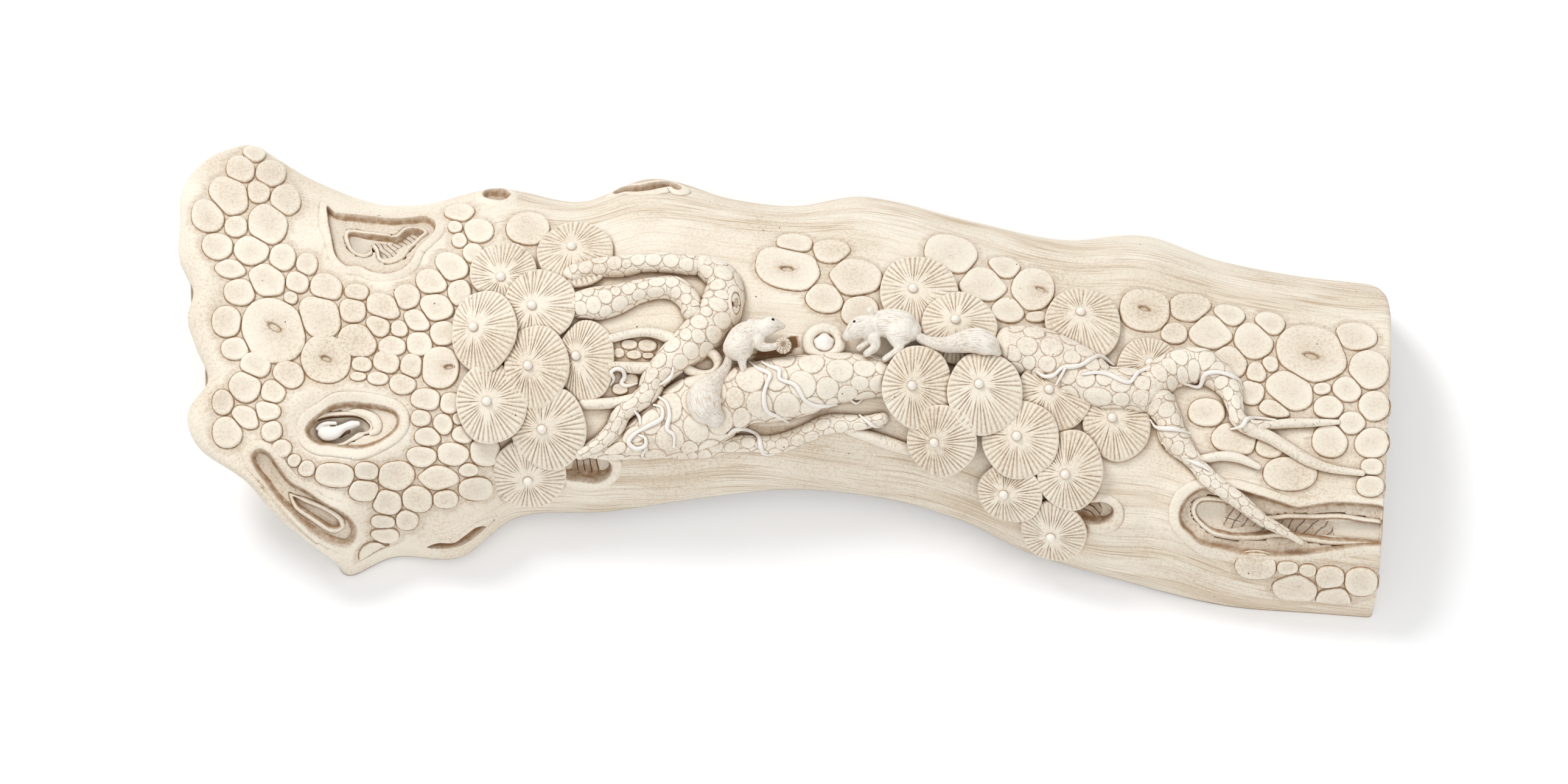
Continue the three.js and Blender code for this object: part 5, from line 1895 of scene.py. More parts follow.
@dataclass
class Knot:
    """A small oval knot on whatever is there: its lip, its dark groove and its core.

    It is placed by a pixel of the photograph. The profile's rows are the share of its size, the height in
    millimetres and the wash, whose values above 1 paint the groove near-black with painted shade.
    """

    name: str
    pixel: Spot
    size: tuple[float, float]
    turn: float
    around: int = 28
    profile: Sequence[tuple[float, float, float]] = (
        (1.75, -0.5, 0.0), (1.6, 0.02, 0.0), (1.35, 0.3, 0.0), (1.12, 0.36, 0.1), (0.98, 0.28, 1.3),
        (0.88, 0.04, 2.0), (0.68, 0.03, 2.0), (0.58, 0.16, 1.0), (0.4, 0.22, 0.7), (0.2, 0.22, 0.6),
    )

    def build(self) -> bpy.types.Object:
        """Lays the knot's rings on the surface that the camera sees at its pixel.

        Returns:
            The finished piece.
        """
        ray = SIGHT.rays(np.array([self.pixel], float))[0]
        centre, out = SHOP.meet(SIGHT.eye, ray)
        aside = unit(np.array([1.0, 0, 0]) - out * out[0])
        upward = np.cross(out, aside)
        turns = np.linspace(0, 2 * math.pi, self.around, endpoint=False)
        cos, sin = math.cos(math.radians(self.turn)), math.sin(math.radians(self.turn))
        oval = np.stack([self.size[0] * np.cos(turns), self.size[1] * np.sin(turns)], axis=1)
        oval = oval @ np.array([[cos, sin], [-sin, cos]])
        points = [self.drop(centre, out, oval @ np.stack([aside, upward]) * share, height)
                  for share, height, _ in self.profile]
        points += [centre[None] + out * self.profile[-1][1], centre[None] - out]
        faces = [tuple(reversed(face)) for face in grid_faces(len(self.profile), self.around)]
        last, middle = (len(self.profile) - 1) * self.around, len(self.profile) * self.around
        faces += fan(last, self.around, middle) + fan(0, self.around, middle + 1, turned=True)
        obj = SHOP.mesh(self.name, np.concatenate(points), faces)
        wash_and_shade = np.repeat([row[2] for row in self.profile], self.around)
        paint(obj, "wash_and_shade", np.concatenate([wash_and_shade, [self.profile[-1][2], 0.0]]))
        return SHOP.dress(obj, Finish.BRANCH)

    @staticmethod
    def drop(centre: Array, out: Array, offsets: Array, height: float) -> Array:
        """Points round a centre, laid on the surface and raised by a height."""
        spots = []
        for offset in offsets:
            met = SHOP.meet(centre + offset + out * 2.5, -out)
            foot = met[0] if met and np.dot(met[0] - centre, out) > -2.0 else centre + offset - out * 2.0
            spots.append(foot + out * height)
        return np.array(spots)


@dataclass
class Studio:
    """Pale floor, soft lights and the camera."""

    def build(self) -> None:
        """Sets the floor, the lights, the world and the camera."""
        self.floor()
        self.lights()
        self.camera()

    def floor(self) -> None:
        """A wide pale floor that looks white to the camera."""
        bpy.ops.mesh.primitive_plane_add(size=6.0, location=(0, 0, 0))
        floor = bpy.context.object
        floor.name = "studio_floor"
        mat = bpy.data.materials.new("studio_floor")
        mat.use_nodes = True
        bench = NodeBench(mat)
        shader = mat.node_tree.nodes["Principled BSDF"]
        shader.inputs["Base Color"].default_value = (0.93, 0.93, 0.935, 1)
        shader.inputs["Roughness"].default_value = 0.9
        shader.inputs["Specular IOR Level"].default_value = 0.0
        output = mat.node_tree.nodes["Material Output"]
        glow = bench.add("ShaderNodeEmission")
        glow.inputs["Strength"].default_value = 0.12
        both = bench.add("ShaderNodeAddShader")
        rays = bench.add("ShaderNodeLightPath")
        only = bench.add("ShaderNodeMixShader")
        bench.link(shader.outputs[0], both.inputs[0])
        bench.link(glow.outputs[0], both.inputs[1])
        bench.link(rays.outputs["Is Camera Ray"], only.inputs[0])
        bench.link(shader.outputs[0], only.inputs[1])
        bench.link(both.outputs[0], only.inputs[2])
        bench.link(only.outputs[0], output.inputs["Surface"])
        floor.data.materials.append(mat)

    def lights(self) -> None:
        """A large soft key from behind on the left, a weak fill and an even sky."""
        for name, place, size, power in (
            ("key", (-0.75, 0.8, 1.15), 0.5, 12.1),
            ("fill", (0.35, -1.0, 1.1), 1.2, 5.8),
        ):
            bpy.ops.object.light_add(type="AREA", location=place)
            lamp = bpy.context.object
            lamp.name = "studio_" + name
            lamp.data.size = size
            lamp.data.energy = power
            lamp.rotation_euler = (Vector((0, 0, 0)) - Vector(place)).to_track_quat("-Z", "Y").to_euler()
        world = bpy.data.worlds.new("studio_sky")
        bpy.context.scene.world = world
        world.use_nodes = True
        world.node_tree.nodes["Background"].inputs["Color"].default_value = (1, 1, 1, 1)
        world.node_tree.nodes["Background"].inputs["Strength"].default_value = 0.62

    def camera(self) -> None:
        """The camera at the photograph's viewing angle."""
        data = bpy.data.cameras.new("camera")
        data.lens = SIGHT.lens
        data.sensor_width = SIGHT.sensor
        camera = bpy.data.objects.new("camera", data)
        bpy.context.scene.collection.objects.link(camera)
        camera.location = (SIGHT.eye + VAULT.shift) * MM
        camera.rotation_euler = (math.pi / 2 - SIGHT.tilt, 0, 0)
        bpy.context.scene.camera = camera
        bpy.context.scene.view_settings.view_transform = "Standard"


DISCS = (
    NeedleDisc(1, (-0.341, 0.42), (8.7, 9.4), 1.2, (0, 0), (-0.8, 1)),
    NeedleDisc(2, (-0.458, 0.26), (7.6, 7.4), 1.3, (0, 0), (-0.4, -2.4)),
    NeedleDisc(3, (-0.32, -0.29), (6.4, 9.6), 1.2, (0, 0), (-2.4, 0.7)),
    NeedleDisc(4, (-0.396, 0.04), (8.2, 8.9), 2.2, (0, 0), (-1.8, -0.7)),
    NeedleDisc(5, (-0.415, -0.88), (8.4, 9.2), 1.2, (0, 0), (-0.3, -1)),
    NeedleDisc(6, (-0.379, -0.67), (8.5, 9.5), 2.2, (0, 0.04), (-1.6, 0)),
    NeedleDisc(7, (-0.4, -0.34), (7.4, 9.7), 3, (0, 0), (-1.8, -0.1)),
    NeedleDisc(8, (-0.475, -0.48), (8, 9.3), 2.6, (0.12, 0), (-1.3, 0.2)),
    NeedleDisc(9, (-0.486, -0.08), (7.5, 10), 3.2, (0.15, 0), (-2.4, 0.5)),
    NeedleDisc(10, (0.221, 0.15), (8.9, 9.7), 1.2, (0, 0), (-1.5, 0.4)),
    NeedleDisc(11, (0.285, -0.02), (8.6, 8.9), 2.2, (0, 0), (-0.9, 1.5)),
    NeedleDisc(12, (0.489, 0.25), (8.6, 9.6), 1.2, (0, 0), (-0.7, 2.4)),
    NeedleDisc(13, (0.595, 0.01), (7.3, 7.6), 0.9, (0, 0), (0, 0.8)),
    NeedleDisc(14, (0.541, -0.32), (7.7, 8.8), 1, (0, 0), (-1.3, 0.8)),
    NeedleDisc(15, (0.439, -0.23), (8.5, 8.6), 1.6, (0, 0), (-1.3, 1)),
    NeedleDisc(16, (0.441, -0.92), (7.5, 8.4), 1.3, (0, 0), (-0.4, -0.6)),
    NeedleDisc(17, (0.372, -0.82), (7.5, 7.2), 2, (0, 0), (-1.3, -0.1)),
    NeedleDisc(18, (0.464, -0.62), (7.5, 9.1), 2.2, (0, 0), (-1.1, -0.9)),
    NeedleDisc(19, (0.385, -0.54), (8.7, 8.9), 3, (0, 0), (-0.8, 0.7)),
    NeedleDisc(20, (0.219, -0.47), (7.9, 9.5), 5.2, (-0.1, 0), (-1.3, 0.2)),
    NeedleDisc(21, (0.327, -0.38), (8.5, 9.6), 4.6, (-0.12, 0), (-1.3, 1.8)),
    NeedleDisc(22, (0.261, -0.7), (7.9, 8.4), 4.6, (0, 0.1), (-1.7, -0.3)),
)

BRANCHES = (
    Branch("crevice_strand_upper", (
        (-0.347, 0.27, 2.2, 2.8), (-0.305, 0.29, 2.2, 3), (-0.266, 0.25, 2.4, 3.2), (-0.226, 0.23, 2, 3.2),
        (-0.186, 0.23, 2.2, 3.4), (-0.146, 0.23, 2.2, 3.6),), 1.5, 11),
    Branch("crevice_strand_lower", (
        (-0.339, 0.07, 3.1, 2.8), (-0.305, 0.06, 3.9, 3.2), (-0.275, 0.05, 3.5, 3.3),
        (-0.24, 0.06, 2.7, 3.3), (-0.206, 0.07, 2.4, 3.4), (-0.176, 0.07, 2.7, 3.6), (-0.154, 0, 2.5, 3.8),
        (-0.146, -0.08, 2.5, 4.4),), 1.5, 12),
    Branch("elbow_branch", (
        (-0.129, 0.24, 2.5, 4), (-0.101, 0.17, 3.8, 5), (-0.098, 0.03, 4.8, 5.2), (-0.114, -0.11, 5, 5.2),
        (-0.145, -0.25, 4.5, 5), (-0.173, -0.34, 3.9, 4.8), (-0.197, -0.42, 3.2, 4.4),
        (-0.212, -0.48, 2.8, 4.1), (-0.219, -0.54, 2.5, 3.9), (-0.239, -0.58, 2.1, 3.6),
        (-0.262, -0.62, 2, 3.5), (-0.274, -0.69, 2, 3.4), (-0.299, -0.75, 1.7, 3.2),
        (-0.331, -0.79, 1.4, 2.8),), 1.5, 13),
    Branch("hollow_twig", (
        (-0.281, -0.19, 1, 2), (-0.25, -0.19, 1, 2.1), (-0.217, -0.2, 1.1, 2.4),
        (-0.186, -0.24, 1.4, 3.2), (-0.17, -0.28, 1.6, 4),), 0, 14),
    Branch("short_twig", (
        (-0.28, -0.35, 1.1, 2), (-0.252, -0.38, 1.3, 2.2), (-0.228, -0.4, 1.4, 2.5),
        (-0.206, -0.41, 1.5, 3.2), (-0.195, -0.42, 1.6, 3.6),), 0, 15),
    Branch("thin_twig", (
        (-0.325, -0.54, 1.3, 2), (-0.294, -0.55, 1.3, 2.2), (-0.269, -0.56, 1.3, 2.3),
        (-0.244, -0.56, 1.4, 2.6),
        (-0.226, -0.56, 1.5, 3),), 0, 16),
    Branch("main_branch", (
        (-0.312, -0.79, 1.4, 2.2), (-0.279, -0.79, 2.4, 3), (-0.24, -0.76, 4.5, 3.8),
        (-0.2, -0.73, 6.7, 4.4), (-0.16, -0.68, 8.1, 4.8), (-0.116, -0.63, 8.1, 5.2),
        (-0.066, -0.57, 6.7, 5.6), (-0.017, -0.55, 7, 5.8), (0.033, -0.52, 6.7, 5.8),
        (0.082, -0.48, 5.9, 5.6), (0.132, -0.46, 4.9, 5.2), (0.173, -0.44, 4.1, 4.6),), 2.35, 17),
    Branch("lower_branch", (
        (-0.174, -0.83, 2.2, 2.6), (-0.126, -0.83, 2.4, 3), (-0.087, -0.82, 2, 3), (-0.047, -0.83, 1.8, 3),
        (-0.017, -0.84, 2, 3), (0.013, -0.82, 2, 3), (0.043, -0.78, 2, 3), (0.072, -0.74, 2.1, 3),
        (0.107, -0.73, 2, 3), (0.137, -0.71, 1.4, 2.8), (0.162, -0.68, 1.4, 2.6),), 1.35, 18),
    Branch("lower_fork", (
        (0.11, -0.76, 1.4, 2.4), (0.137, -0.78, 1.4, 2.4), (0.172, -0.8, 1.5, 2.4),
        (0.204, -0.81, 1.3, 2.2),), 0, 19),
    Branch("right_branch", (
        (0.364, -0.03, 5.3, 4.2), (0.408, 0.01, 5.9, 4.6), (0.443, -0.01, 6, 4.9), (0.477, -0.06, 6.3, 5),
        (0.516, -0.13, 5.3, 5), (0.556, -0.13, 5, 4.9), (0.591, -0.13, 5.2, 4.8),), 1.9, 20),
    Branch("right_arm_upper", (
        (0.599, -0.08, 4.3, 4.6), (0.625, 0.01, 4.1, 4.5), (0.652, 0.07, 4.3, 4.5), (0.682, 0.11, 4.1, 4.4),
        (0.707, 0.08, 3.4, 4.1), (0.726, 0.01, 2.5, 3.7), (0.733, -0.08, 1.8, 3.3), (0.738, -0.15, 1.7, 3),
        (0.757, -0.18, 1.7, 2.7), (0.783, -0.16, 1.1, 2.1), (0.818, -0.13, 1.1, 1.9),
        (0.858, -0.11, 1, 1.7), (0.9, -0.09, 0.6, 1.2),), 1.5, 21),
    Branch("right_twig", (
        (0.759, -0.19, 1.7, 2.5), (0.788, -0.22, 1.5, 2.3), (0.817, -0.27, 1.4, 2.1),
        (0.851, -0.33, 1.3, 1.9), (0.885, -0.36, 1, 1.6), (0.937, -0.37, 0.7, 1.2),), 0, 22),
    Branch("right_arm_lower", (
        (0.61, -0.18, 3.8, 4.6), (0.625, -0.26, 2.9, 4.2), (0.629, -0.32, 3.1, 4), (0.642, -0.37, 2.9, 3.8),
        (0.656, -0.41, 2.1, 3.4), (0.671, -0.45, 1.8, 3.2), (0.688, -0.5, 2, 3.2), (0.712, -0.54, 1.8, 3),
        (0.742, -0.59, 1.7, 2.8), (0.776, -0.66, 1.3, 2.4), (0.806, -0.7, 1, 2),
        (0.838, -0.75, 0.6, 1.4),), 1.3, 23),
    Branch("side_twig", (
        (0.675, -0.42, 1.1, 2.3), (0.708, -0.37, 1.1, 2.1), (0.738, -0.36, 1.1, 1.9),
        (0.769, -0.39, 0.7, 1.3),), 0, 24),
)

RINGS = (
    OvalRing("hollow_rim", (-0.135, -0.37), 4.4, 3.0, 1.2, -0.35, 1.2),
    OvalRing("ring_knot", (0.066, -0.26), 3.6, 3.3, 1.3, 0.0, 1.6),
)

KERNELS = (
    Kernel("ring_kernel", (0.066, -0.26), (2.5, 2.3, 1.5), 1.5),
)

KNOTS = (
    Knot("elbow_eye", (1209, 498), (1.3, 2.5), 4),
    Knot("arm_broken_ring", (1913, 733), (0.75, 0.7), 0),
)

SQUIRREL_LEFT = Squirrel(
    "squirrel_left", (-0.07, -0.3),
    (
        ((-0.9, 0.2, 3.2, 3.1), (0.6, 2.6, 3.6, 3.1), (3.2, 3.9, 3.8, 2.7), (5.4, 4.3, 4.2, 2.1)),
        ((5.2, 4.3, 4.4, 1.9), (7.2, 5, 4.6, 2.1), (8.6, 5, 4.5, 1.3), (9.6, 4.9, 4.4, 0.8)),
        ((4.2, 1.8, 4.6, 1.5), (4.6, 0.2, 4.6, 1.2), (7.2, 0, 4.6, 0.9), (9.4, 0.6, 4.8, 0.7)),
        ((0.3, -1.6, 4, 1.5), (0.5, -3.4, 3.6, 1), (0.9, -5.6, 3.4, 0.8)),
        ((3.6, 4.8, 5.6, 0.5), (2.4, 5.5, 5.8, 0.8)),
        ((0, 0, 4, 3.1),),
    ),
    (
        (-2.4, -1.7, 3, 0.9), (-3.2, -4.4, 3, 1.2), (-4.7, -6.6, 3.2, 1.8), (-6.6, -8.8, 3.4, 3),
        (-8, -11.6, 3.4, 4.1), (-7.3, -14.2, 3.1, 3.9), (-5.9, -15.8, 2.8, 2.5),
    ),
    ((7.5, 6.0, 6.2),),
)
SQUIRREL_RIGHT = Squirrel(
    "squirrel_right", (0.188, -0.19),
    (
        ((2.4, 1, 3.6, 2.7), (0.6, 2, 4, 3.5), (-3, 2.6, 4, 3.4), (-6, 2.3, 4, 2.6), (-8.2, 1.8, 4.2, 2.1)),
        ((-7.6, 1.8, 4.4, 2.6), (-9.4, 1.3, 4.4, 2.6), (-11, 0.1, 4.2, 1.8), (-11.9, -0.5, 4.1, 1.2)),
        ((-5.9, -1, 4.4, 1.6), (-5.5, -3, 4.4, 1.1), (-7.6, -4.8, 4.4, 0.8)),
        ((-6.8, -1.2, 3.2, 1.1), (-9.2, -3.2, 3.4, 0.7)),
        ((-0.6, -1.8, 4.6, 1.7), (0, -3.5, 4.6, 1.1), (-3.3, -6, 4.4, 0.8)),
        ((-6.2, 3.7, 6.2, 0.5), (-6.7, 4.9, 6.6, 0.9)),
        ((0, 0, 4.6, 3.1),),
    ),
    (
        (3.2, 0.6, 4, 0.9), (4.9, -1, 4.2, 1.2), (7.2, -2.2, 4.6, 1.5), (10.6, -2.7, 5, 1.9),
        (13.8, -2.2, 5.2, 2.5), (17.6, -1.8, 5.2, 3), (20.4, -3, 4.8, 2.6), (22.2, -4.4, 4.4, 1),
    ),
    ((-10.3, 2.2, 6.4),),
)

NUT = Nut(SQUIRREL_LEFT, (9.8, 0.4, 4.2))

TENDRILS = (
    ((1003, 632), (1008, 622), (1004, 612), (1012, 606), (1022, 608), (1026, 618), (1021, 630),
    (1030, 634), (1047, 630)),
    ((1082, 652), (1095, 662), (1100, 682), (1096, 705), (1107, 715), (1107, 735)),
    ((1074, 665), (1087, 670), (1087, 687), (1065, 700), (1040, 715), (1033, 727), (1045, 737), (1060, 732),
     (1060, 720), (1050, 715)),
    ((1232, 595), (1245, 605), (1265, 615), (1260, 630), (1255, 650), (1260, 675), (1280, 685), (1295, 694)),
    ((1252, 595), (1265, 602), (1280, 608), (1281, 622), (1305, 632), (1315, 645), (1322, 657), (1340, 666),
     (1375, 665)),
    ((1195, 715), (1205, 706), (1222, 705), (1240, 712), (1247, 720), (1249, 732), (1255, 745), (1272, 746)),
    ((1703, 610), (1715, 618), (1730, 617), (1745, 605), (1775, 600), (1805, 585), (1830, 600)),
    ((1778, 615), (1800, 612), (1820, 615), (1855, 628), (1870, 612), (1888, 605)),
    ((1945, 630), (1970, 635), (1980, 615), (2005, 612), (2035, 625), (2040, 640)),
    ((1890, 690), (1900, 702), (1930, 705), (1955, 712)),
    ((2022, 705), (2040, 700), (2050, 688), (2095, 690)),
)
LOOSE_TENDRILS = (
    ((1106, 604), (1103, 617), (1095, 625), (1084, 632)),
    ((1042, 675), (1050, 685), (1052, 697)),
    ((1060, 737), (1055, 750), (1065, 753)),
    ((1397, 657), (1407, 663), (1417, 655)),
    ((1412, 682), (1422, 690), (1437, 700), (1450, 700)),
    ((1735, 632), (1742, 620), (1750, 605)),
    ((1950, 755), (1975, 765), (1985, 772)),
)

TORN_TOP = Sheet(250, 200, 2.412)
TORN_LOW = Sheet(250, 550, 2.412)
SAWN_TOP = Sheet(1750, 420, 2.851)
SAWN_LOW = Sheet(1750, 700, 2.851)
CREVICE = Sheet(950, 400, 3.136)
MIDDLE = Sheet(1350, 380, 2.851)
MIDDLE_LOW = Sheet(1350, 560, 2.851)
BACK_EDGE = Sheet(600, 280, 3.136)
CLUSTER = Sheet(700, 420, 3.92)
GREAT = Sheet(470, 650, 8.0)
BACK_LONG = Sheet(940, 270, 7.0)

BARK_FIELDS = (
    BarkField("bark_scales_torn_end_top", TORN_TOP, (
        (402, 135, 44, 26, 10), (351, 193, 54, 50, 0), (467, 210, 57, 47, 10), (308, 298, 80, 68, 35),
        (420, 283, 46, 42, 10), (527, 313, 56, 60, -20), (222, 380, 62, 58, 0), (333, 418, 44, 40, 0),
        (457, 411, 75, 78, 0), (260, 497, 58, 51, 10), (394, 513, 69, 55, 5), (516, 542, 51, 50, 0),
        (613, 568, 41, 42, 0), (312, 585, 61, 37, 10), (456, 630, 75, 60, 25), (574, 638, 46, 42, 10),
        (348, 676, 60, 50, 10), (549, 698, 27, 27, 0), (690, 658, 62, 50, 20), (296, 793, 55, 60, 0),
        (481, 825, 127, 127, 0, 485, 815), (665, 771, 90, 78, 45), (811, 678, 47, 33, 5),
        (794, 748, 54, 48, 5),
        (918, 735, 72, 47, 15), (1010, 697, 52, 47, -5), (1110, 637, 62, 46, 0), (1188, 580, 66, 52, 10),
        (1125, 738, 68, 51, 5), (1049, 788, 57, 40, 20), (896, 811, 50, 38, 20), (979, 821, 36, 32, 0),
        (815, 868, 75, 62, 10), (952, 888, 55, 38, 0), (1058, 880, 51, 45, 0), (1152, 838, 52, 47, 0),
        (330, 900, 53, 44, 0), (1220, 365, 58, 32, 0), (1293, 437, 58, 45, 0), (1203, 421, 28, 22, 0),
        (1220, 472, 31, 28, 0), (1272, 524, 40, 38, 0), (1490, 430, 80, 60, 0), (1218, 680, 45, 50, 0))),
    BarkField("bark_scales_torn_end_low", TORN_LOW, (
        (410, 122, 58, 48, 10), (541, 162, 60, 53, 10), (690, 100, 95, 90, 25, 690, 97),
        (831, 120, 40, 31, 5),
        (818, 170, 32, 20, 0), (897, 178, 41, 28, 0), (928, 110, 52, 42, 15), (1027, 125, 43, 48, 20),
        (1140, 130, 72, 78, 0, 1175, 128), (995, 198, 50, 43, 0), (370, 208, 60, 58, 30),
        (482, 230, 48, 48, 20),
        (283, 272, 40, 48, 0), (373, 330, 60, 42, 20), (458, 307, 53, 40, 20), (302, 388, 57, 60, 0),
        (478, 387, 40, 40, 0), (518, 453, 37, 34, 10), (568, 500, 26, 24, 0), (615, 530, 33, 30, 0),
        (727, 556, 77, 45, 5), (848, 540, 48, 35, 0), (968, 558, 72, 55, -5), (1072, 484, 60, 40, 5),
        (1132, 565, 82, 46, 3), (1193, 473, 63, 44, 5), (1318, 462, 58, 55, 0), (1252, 535, 38, 26, 0),
        (1280, 608, 63, 45, 0), (1162, 650, 48, 36, 0), (1050, 650, 62, 50, 5), (933, 662, 60, 47, 5),
        (840, 616, 60, 42, 5), (915, 738, 48, 26, 3), (1010, 731, 45, 37, 0), (920, 790, 55, 30, 0),
        (876, 865, 58, 47, -10), (1086, 258, 56, 43, 0), (1068, 333, 37, 32, 0), (1182, 272, 42, 42, 0),
        (1095, 405, 50, 36, 0), (1153, 355, 38, 40, 20), (1232, 396, 42, 34, 0), (1215, 332, 25, 24, 0))),
    BarkField("bark_scales_middle", CREVICE, (
        (1088, 130, 166, 106, 12, 1075, 135), (1115, 5, 90, 46, 3), (1304, 48, 98, 57, 3),
        (1420, 178, 138, 86, 5),
        (1271, 284, 97, 69, 8), (1450, 352, 92, 76, 0))),
    BarkField("bark_scales_behind_discs", MIDDLE, (
        (605, 110, 120, 78, 15), (765, 250, 118, 72, 8), (852, 172, 78, 45, 8),
        (985, 275, 98, 92, 5, 1025, 275),
        (872, 370, 76, 55, 10), (1005, 402, 50, 25, 0))),
    BarkField("bark_scales_crevice", CLUSTER, (
        (1310, 575, 52, 32, 0), (1425, 580, 60, 40, 5), (1240, 630, 36, 30, 0), (1340, 640, 48, 28, 0),
        (1430, 645, 36, 20, 0), (1320, 800, 50, 40, 0), (1250, 860, 50, 36, 0)), rise=0.5),
    BarkField("bark_scales_sawn_end_top", SAWN_TOP, (
        (376, 258, 115, 90, 8, 370, 250), (584, 244, 95, 62, 5), (510, 364, 60, 47, 5),
        (684, 362, 103, 72, 12),
        (765, 283, 74, 45, 15), (882, 403, 92, 78, 10), (957, 322, 70, 50, 15), (768, 500, 83, 70, 20),
        (897, 548, 47, 50, 10), (959, 511, 41, 36, 10), (1152, 467, 170, 127, 12, 1150, 475),
        (1360, 382, 95, 62, 8),
        (1420, 540, 90, 85, 10), (1050, 635, 112, 85, 15), (872, 641, 60, 57, 10), (980, 718, 75, 38, 15),
        (663, 736, 83, 62, 5), (1201, 626, 42, 28, 5), (1319, 630, 67, 55, 8), (1235, 713, 68, 52, 5),
        (1340, 786, 66, 50, 0), (1240, 868, 80, 72, 10), (1446, 707, 70, 66, 0), (1436, 878, 76, 66, 0),
        (793, 860, 103, 70, 10), (955, 897, 65, 48, 10))),
    BarkField("bark_scales_sawn_end_low", SAWN_LOW, (
        (1053, 223, 118, 76, 3), (1436, 192, 50, 40, 0), (1428, 280, 62, 50, 0), (893, 655, 93, 56, 3),
        (1042, 661, 50, 30, 3), (1135, 672, 42, 27, 0), (1080, 752, 105, 60, 3), (1238, 706, 68, 50, 0),
        (1254, 803, 80, 48, 0), (1385, 726, 75, 62, 0))),
)

# Painted shadows on the trunk, each an outline in the photograph's pixels and a tone: behind the left squirrel,
# beside its haunch and in the gap between the main and lower branch. Tones above 1 go near-black.
PAINTED_SHADOWS = (
    (((1142, 582), (1150, 564), (1175, 552), (1196, 552), (1194, 578), (1165, 594)), 0.95),
    (((1234, 588), (1250, 572), (1278, 563), (1304, 553), (1312, 566), (1290, 588), (1246, 602)), 1.5),
    (((1168, 690), (1190, 684), (1215, 700), (1210, 720), (1185, 722), (1168, 708)), 1.1),
    (((1185, 700), (1250, 700), (1330, 702), (1300, 722), (1230, 722), (1190, 722)), 0.45),
)

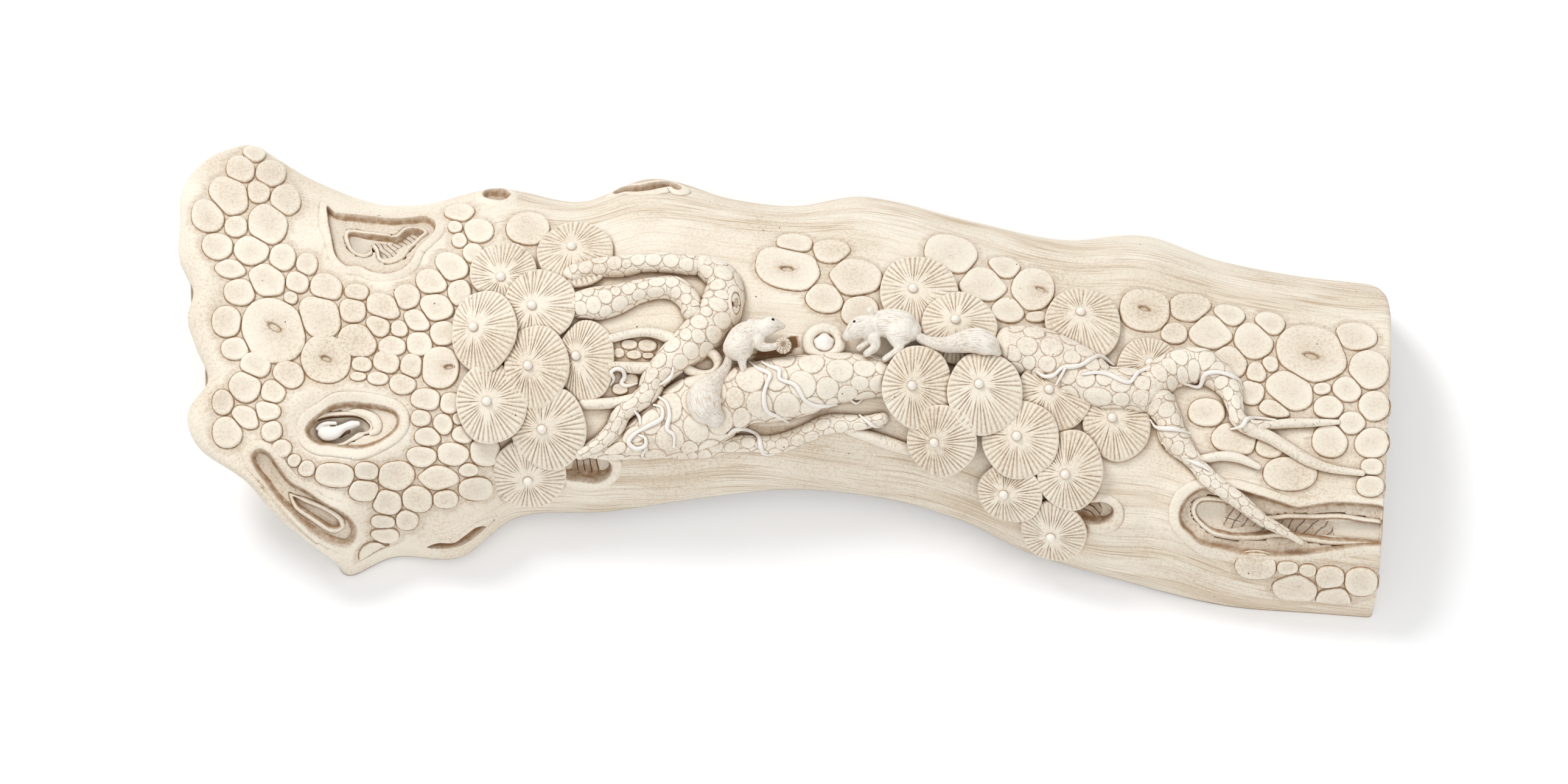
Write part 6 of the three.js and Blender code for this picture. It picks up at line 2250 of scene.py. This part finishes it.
POCKETS = (
    Pocket("leaf_hollow", TORN_TOP, (
        (692, 340), (725, 378), (800, 388), (880, 396), (960, 404), (1020, 390), (1080, 380), (1120, 402),
        (1120, 442), (1092, 480), (1052, 515), (1032, 558), (995, 592), (930, 608), (870, 600), (820, 580),
        (768, 575), (725, 535), (706, 460), (694, 400)),
        ((760, 440), (820, 490), (930, 510), (1000, 460), (1070, 430)), 1.1, brim=0.5, floor_wash_and_shade=0.2),
    Pocket("leaf_hollow_floor", TORN_TOP, (
        (780, 434), (850, 434), (920, 441), (968, 448), (1010, 428), (1058, 424), (1078, 438), (1050, 463),
        (1010, 492), (980, 530), (938, 549), (905, 532), (895, 495), (879, 476), (862, 505), (835, 520),
        (800, 506), (782, 470)),
        ((815, 465), (880, 458), (940, 490), (1000, 455), (1050, 440)), 2.6, brim=-0.75, scratch=0.8,
        scratch_turn=0.6, scratch_pitch=1.1, floor_wash_and_shade=0.35),
    Pocket("great_hollow", GREAT, (
        (640, 118), (830, 92), (1000, 102), (1200, 130), (1350, 170), (1450, 222), (1498, 300), (1488, 400),
        (1420, 490), (1300, 578), (1150, 652), (1000, 695), (850, 693), (700, 674), (560, 656), (450, 648),
        (360, 610), (290, 550), (255, 460), (280, 385), (345, 315), (430, 245), (530, 172)),
        ((430, 450), (900, 400), (1300, 360)), 1.2, brim=0.15, slope=0.7, floor_wash_and_shade=0.1),
    # The hole's walls and floor are painted near-black: painted shade in the deep hole.
    Pocket("great_hollow_hole", GREAT, (
        (272, 460), (295, 390), (355, 335), (450, 285), (560, 258), (700, 248), (850, 245), (960, 265),
        (1050, 322),
        (1105, 400), (1060, 462), (945, 480), (865, 535), (785, 588), (700, 622), (560, 636), (450, 632),
        (375, 596), (308, 545)),
        ((430, 450), (600, 440), (900, 370)), 4.0, brim=-0.9, slope=0.3, floor_wash_and_shade=2.0, wall_wash_and_shade=1.9),
    Pocket("low_hollow", TORN_LOW, (
        (396, 480), (428, 455), (470, 474), (505, 525), (552, 584), (622, 622), (682, 662), (742, 692),
        (790, 732), (806, 780), (776, 828), (722, 824), (652, 790), (592, 742), (542, 692), (492, 640),
        (450, 582), (412, 532)),
        ((430, 490), (520, 610), (640, 710), (750, 780)), 1.3, brim=0.35, slope=0.9, floor_wash_and_shade=0.25),
    Pocket("low_hollow_loop", TORN_LOW, (
        (556, 642), (610, 668), (680, 696), (735, 732), (746, 762), (712, 772), (660, 742), (615, 712),
        (575, 682)),
        ((600, 675), (660, 712), (720, 752)), 2.1, brim=-0.7, floor_wash_and_shade=0.4),
    Pocket("edge_hollow", TORN_LOW, (
        (1092, 838), (1130, 822), (1195, 820), (1240, 790), (1280, 760), (1315, 757), (1322, 785),
        (1288, 814),
        (1225, 830), (1178, 856), (1140, 862), (1104, 855)),
        ((1120, 842), (1190, 838), (1250, 805), (1300, 775)), 1.6, brim=0.3, floor_wash_and_shade=0.4),
    Pocket("back_knot", BACK_EDGE, (
        (610, 140), (630, 120), (680, 114), (725, 120), (748, 142), (728, 164), (680, 170), (632, 162)),
        ((650, 142), (710, 142)), 1.3, brim=0.4, around=90, floor_rings=6, floor_wash_and_shade=0.6),
    Pocket("back_hollow", BACK_LONG, (
        (472, 332), (520, 300), (600, 266), (760, 250), (900, 222), (1080, 204), (1180, 228), (1256, 270),
        (1236, 299), (1180, 292), (1130, 264), (1040, 274), (900, 304), (760, 320), (600, 322), (510, 347)),
        ((520, 325), (760, 288), (1080, 240), (1210, 270)), 1.5, brim=0.25, floor_rings=5, floor_wash_and_shade=0.8),
    Pocket("dark_hollow", CLUSTER, (
        (860, 1330), (920, 1302), (1020, 1298), (1130, 1302), (1185, 1330), (1194, 1375), (1165, 1420),
        (1100, 1450), (1000, 1440), (900, 1425), (850, 1385)),
        ((940, 1370), (1110, 1370)), 2.8, brim=0.45, slope=0.7, scratch=0.9, scratch_turn=0.2,
        scratch_pitch=1.5,
        floor_wash_and_shade=0.95),
    Pocket("rough_hollow", MIDDLE_LOW, (
        (1190, 800), (1215, 762), (1270, 752), (1330, 758), (1364, 785), (1362, 820), (1320, 846),
        (1255, 850),
        (1205, 838)),
        ((1240, 800), (1320, 800)), 2.4, brim=0.4, slope=0.7, scratch=1.0, scratch_turn=0.9,
        scratch_pitch=1.2,
        around=90, floor_rings=7, floor_wash_and_shade=0.9),
    Pocket("layered_hollow", SAWN_LOW, (
        (640, 290), (720, 300), (800, 296), (880, 316), (1000, 352), (1090, 380), (1160, 370), (1250, 358),
        (1380, 362), (1500, 385), (1500, 470), (1500, 548), (1380, 560), (1200, 590), (1040, 606), (840, 600),
        (740, 576), (640, 552), (590, 510), (541, 460), (534, 400), (572, 332)),
        ((620, 420), (900, 460), (1200, 470), (1490, 470)), 1.2, brim=0.3, floor_wash_and_shade=0.4, around=240,
        floor_rings=8),
    Pocket("layered_hollow_floor", SAWN_LOW, (
        (640, 352), (700, 350), (780, 362), (860, 400), (930, 440), (985, 440), (1040, 432), (1110, 432),
        (1180, 433), (1290, 431), (1390, 446), (1500, 470), (1500, 545), (1380, 545), (1240, 540),
        (1110, 520),
        (1000, 505), (900, 516), (800, 516), (745, 506), (690, 490), (640, 452), (614, 418), (612, 380)),
        ((680, 410), (850, 460), (1100, 475), (1490, 500)), 3.0, brim=-0.9, scratch=0.7, scratch_turn=-0.75,
        scratch_pitch=1.9, floor_wash_and_shade=0.55, around=240, floor_rings=10),
)

LUMPS = (
    PocketLump("hollow_kernel_lump", GREAT, (
        ((455, 455, -1.9, 1.3, 0.8), (520, 480, -1.8, 1.75, 1.0), (630, 470, -1.8, 1.5, 0.9),
         (750, 405, -1.7, 0.95, 0.9), (860, 365, -1.6, 0.95, 0.9), (940, 352, -1.6, 0.65, 0.6)),
        ((395, 420, -1.7, 0.35, 0.4), (440, 375, -1.6, 0.4, 0.45), (520, 348, -1.5, 0.45, 0.5),
         (640, 345, -1.5, 0.4, 0.4)),
    ), Finish.WHITE, ("hollow_kernel",)),
    PocketLump("great_hollow_petal", GREAT, (
        ((820, 190, -1.3, 0.3, 0.3), (930, 195, -1.1, 0.8, 0.5), (1060, 235, -1.0, 1.0, 0.6),
         (1160, 300, -1.0, 1.15, 0.65), (1195, 380, -1.0, 1.2, 0.65), (1190, 450, -1.1, 1.0, 0.6),
         (1110, 495, -1.2, 0.6, 0.4)),
    ), Finish.TRUNK),
    PocketLump("great_hollow_fold", GREAT, (
        ((790, 612, -1.4, 0.25, 0.25), (880, 565, -1.2, 0.45, 0.35), (960, 525, -1.2, 0.5, 0.35),
         (1020, 500, -1.3, 0.3, 0.3)),
    ), Finish.TRUNK),
)


def main() -> None:
    """Builds the object piece by piece, then the studio."""
    logging.basicConfig(level=logging.INFO, format="%(message)s")
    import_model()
    VAULT.shift = VAULT.set_out(*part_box("trunk_shell"))
    SHOP.prepare()
    Studio().build()
    tendrils = [Tendril(number, route) for number, route in enumerate(TENDRILS, start=1)]
    loose = [
        Tendril(number, route, node=False)
        for number, route in enumerate(LOOSE_TENDRILS, start=len(TENDRILS) + 1)
    ]
    for piece in (
        TrunkShell(BARK_FIELDS, POCKETS), *BARK_FIELDS, *POCKETS, *KERNELS, *LUMPS, *BRANCHES, *RINGS, *DISCS,
        SQUIRREL_LEFT, SQUIRREL_RIGHT, NUT, *KNOTS, *tendrils, *loose,
    ):
        piece.build()


if __name__ == "__main__":
    main()
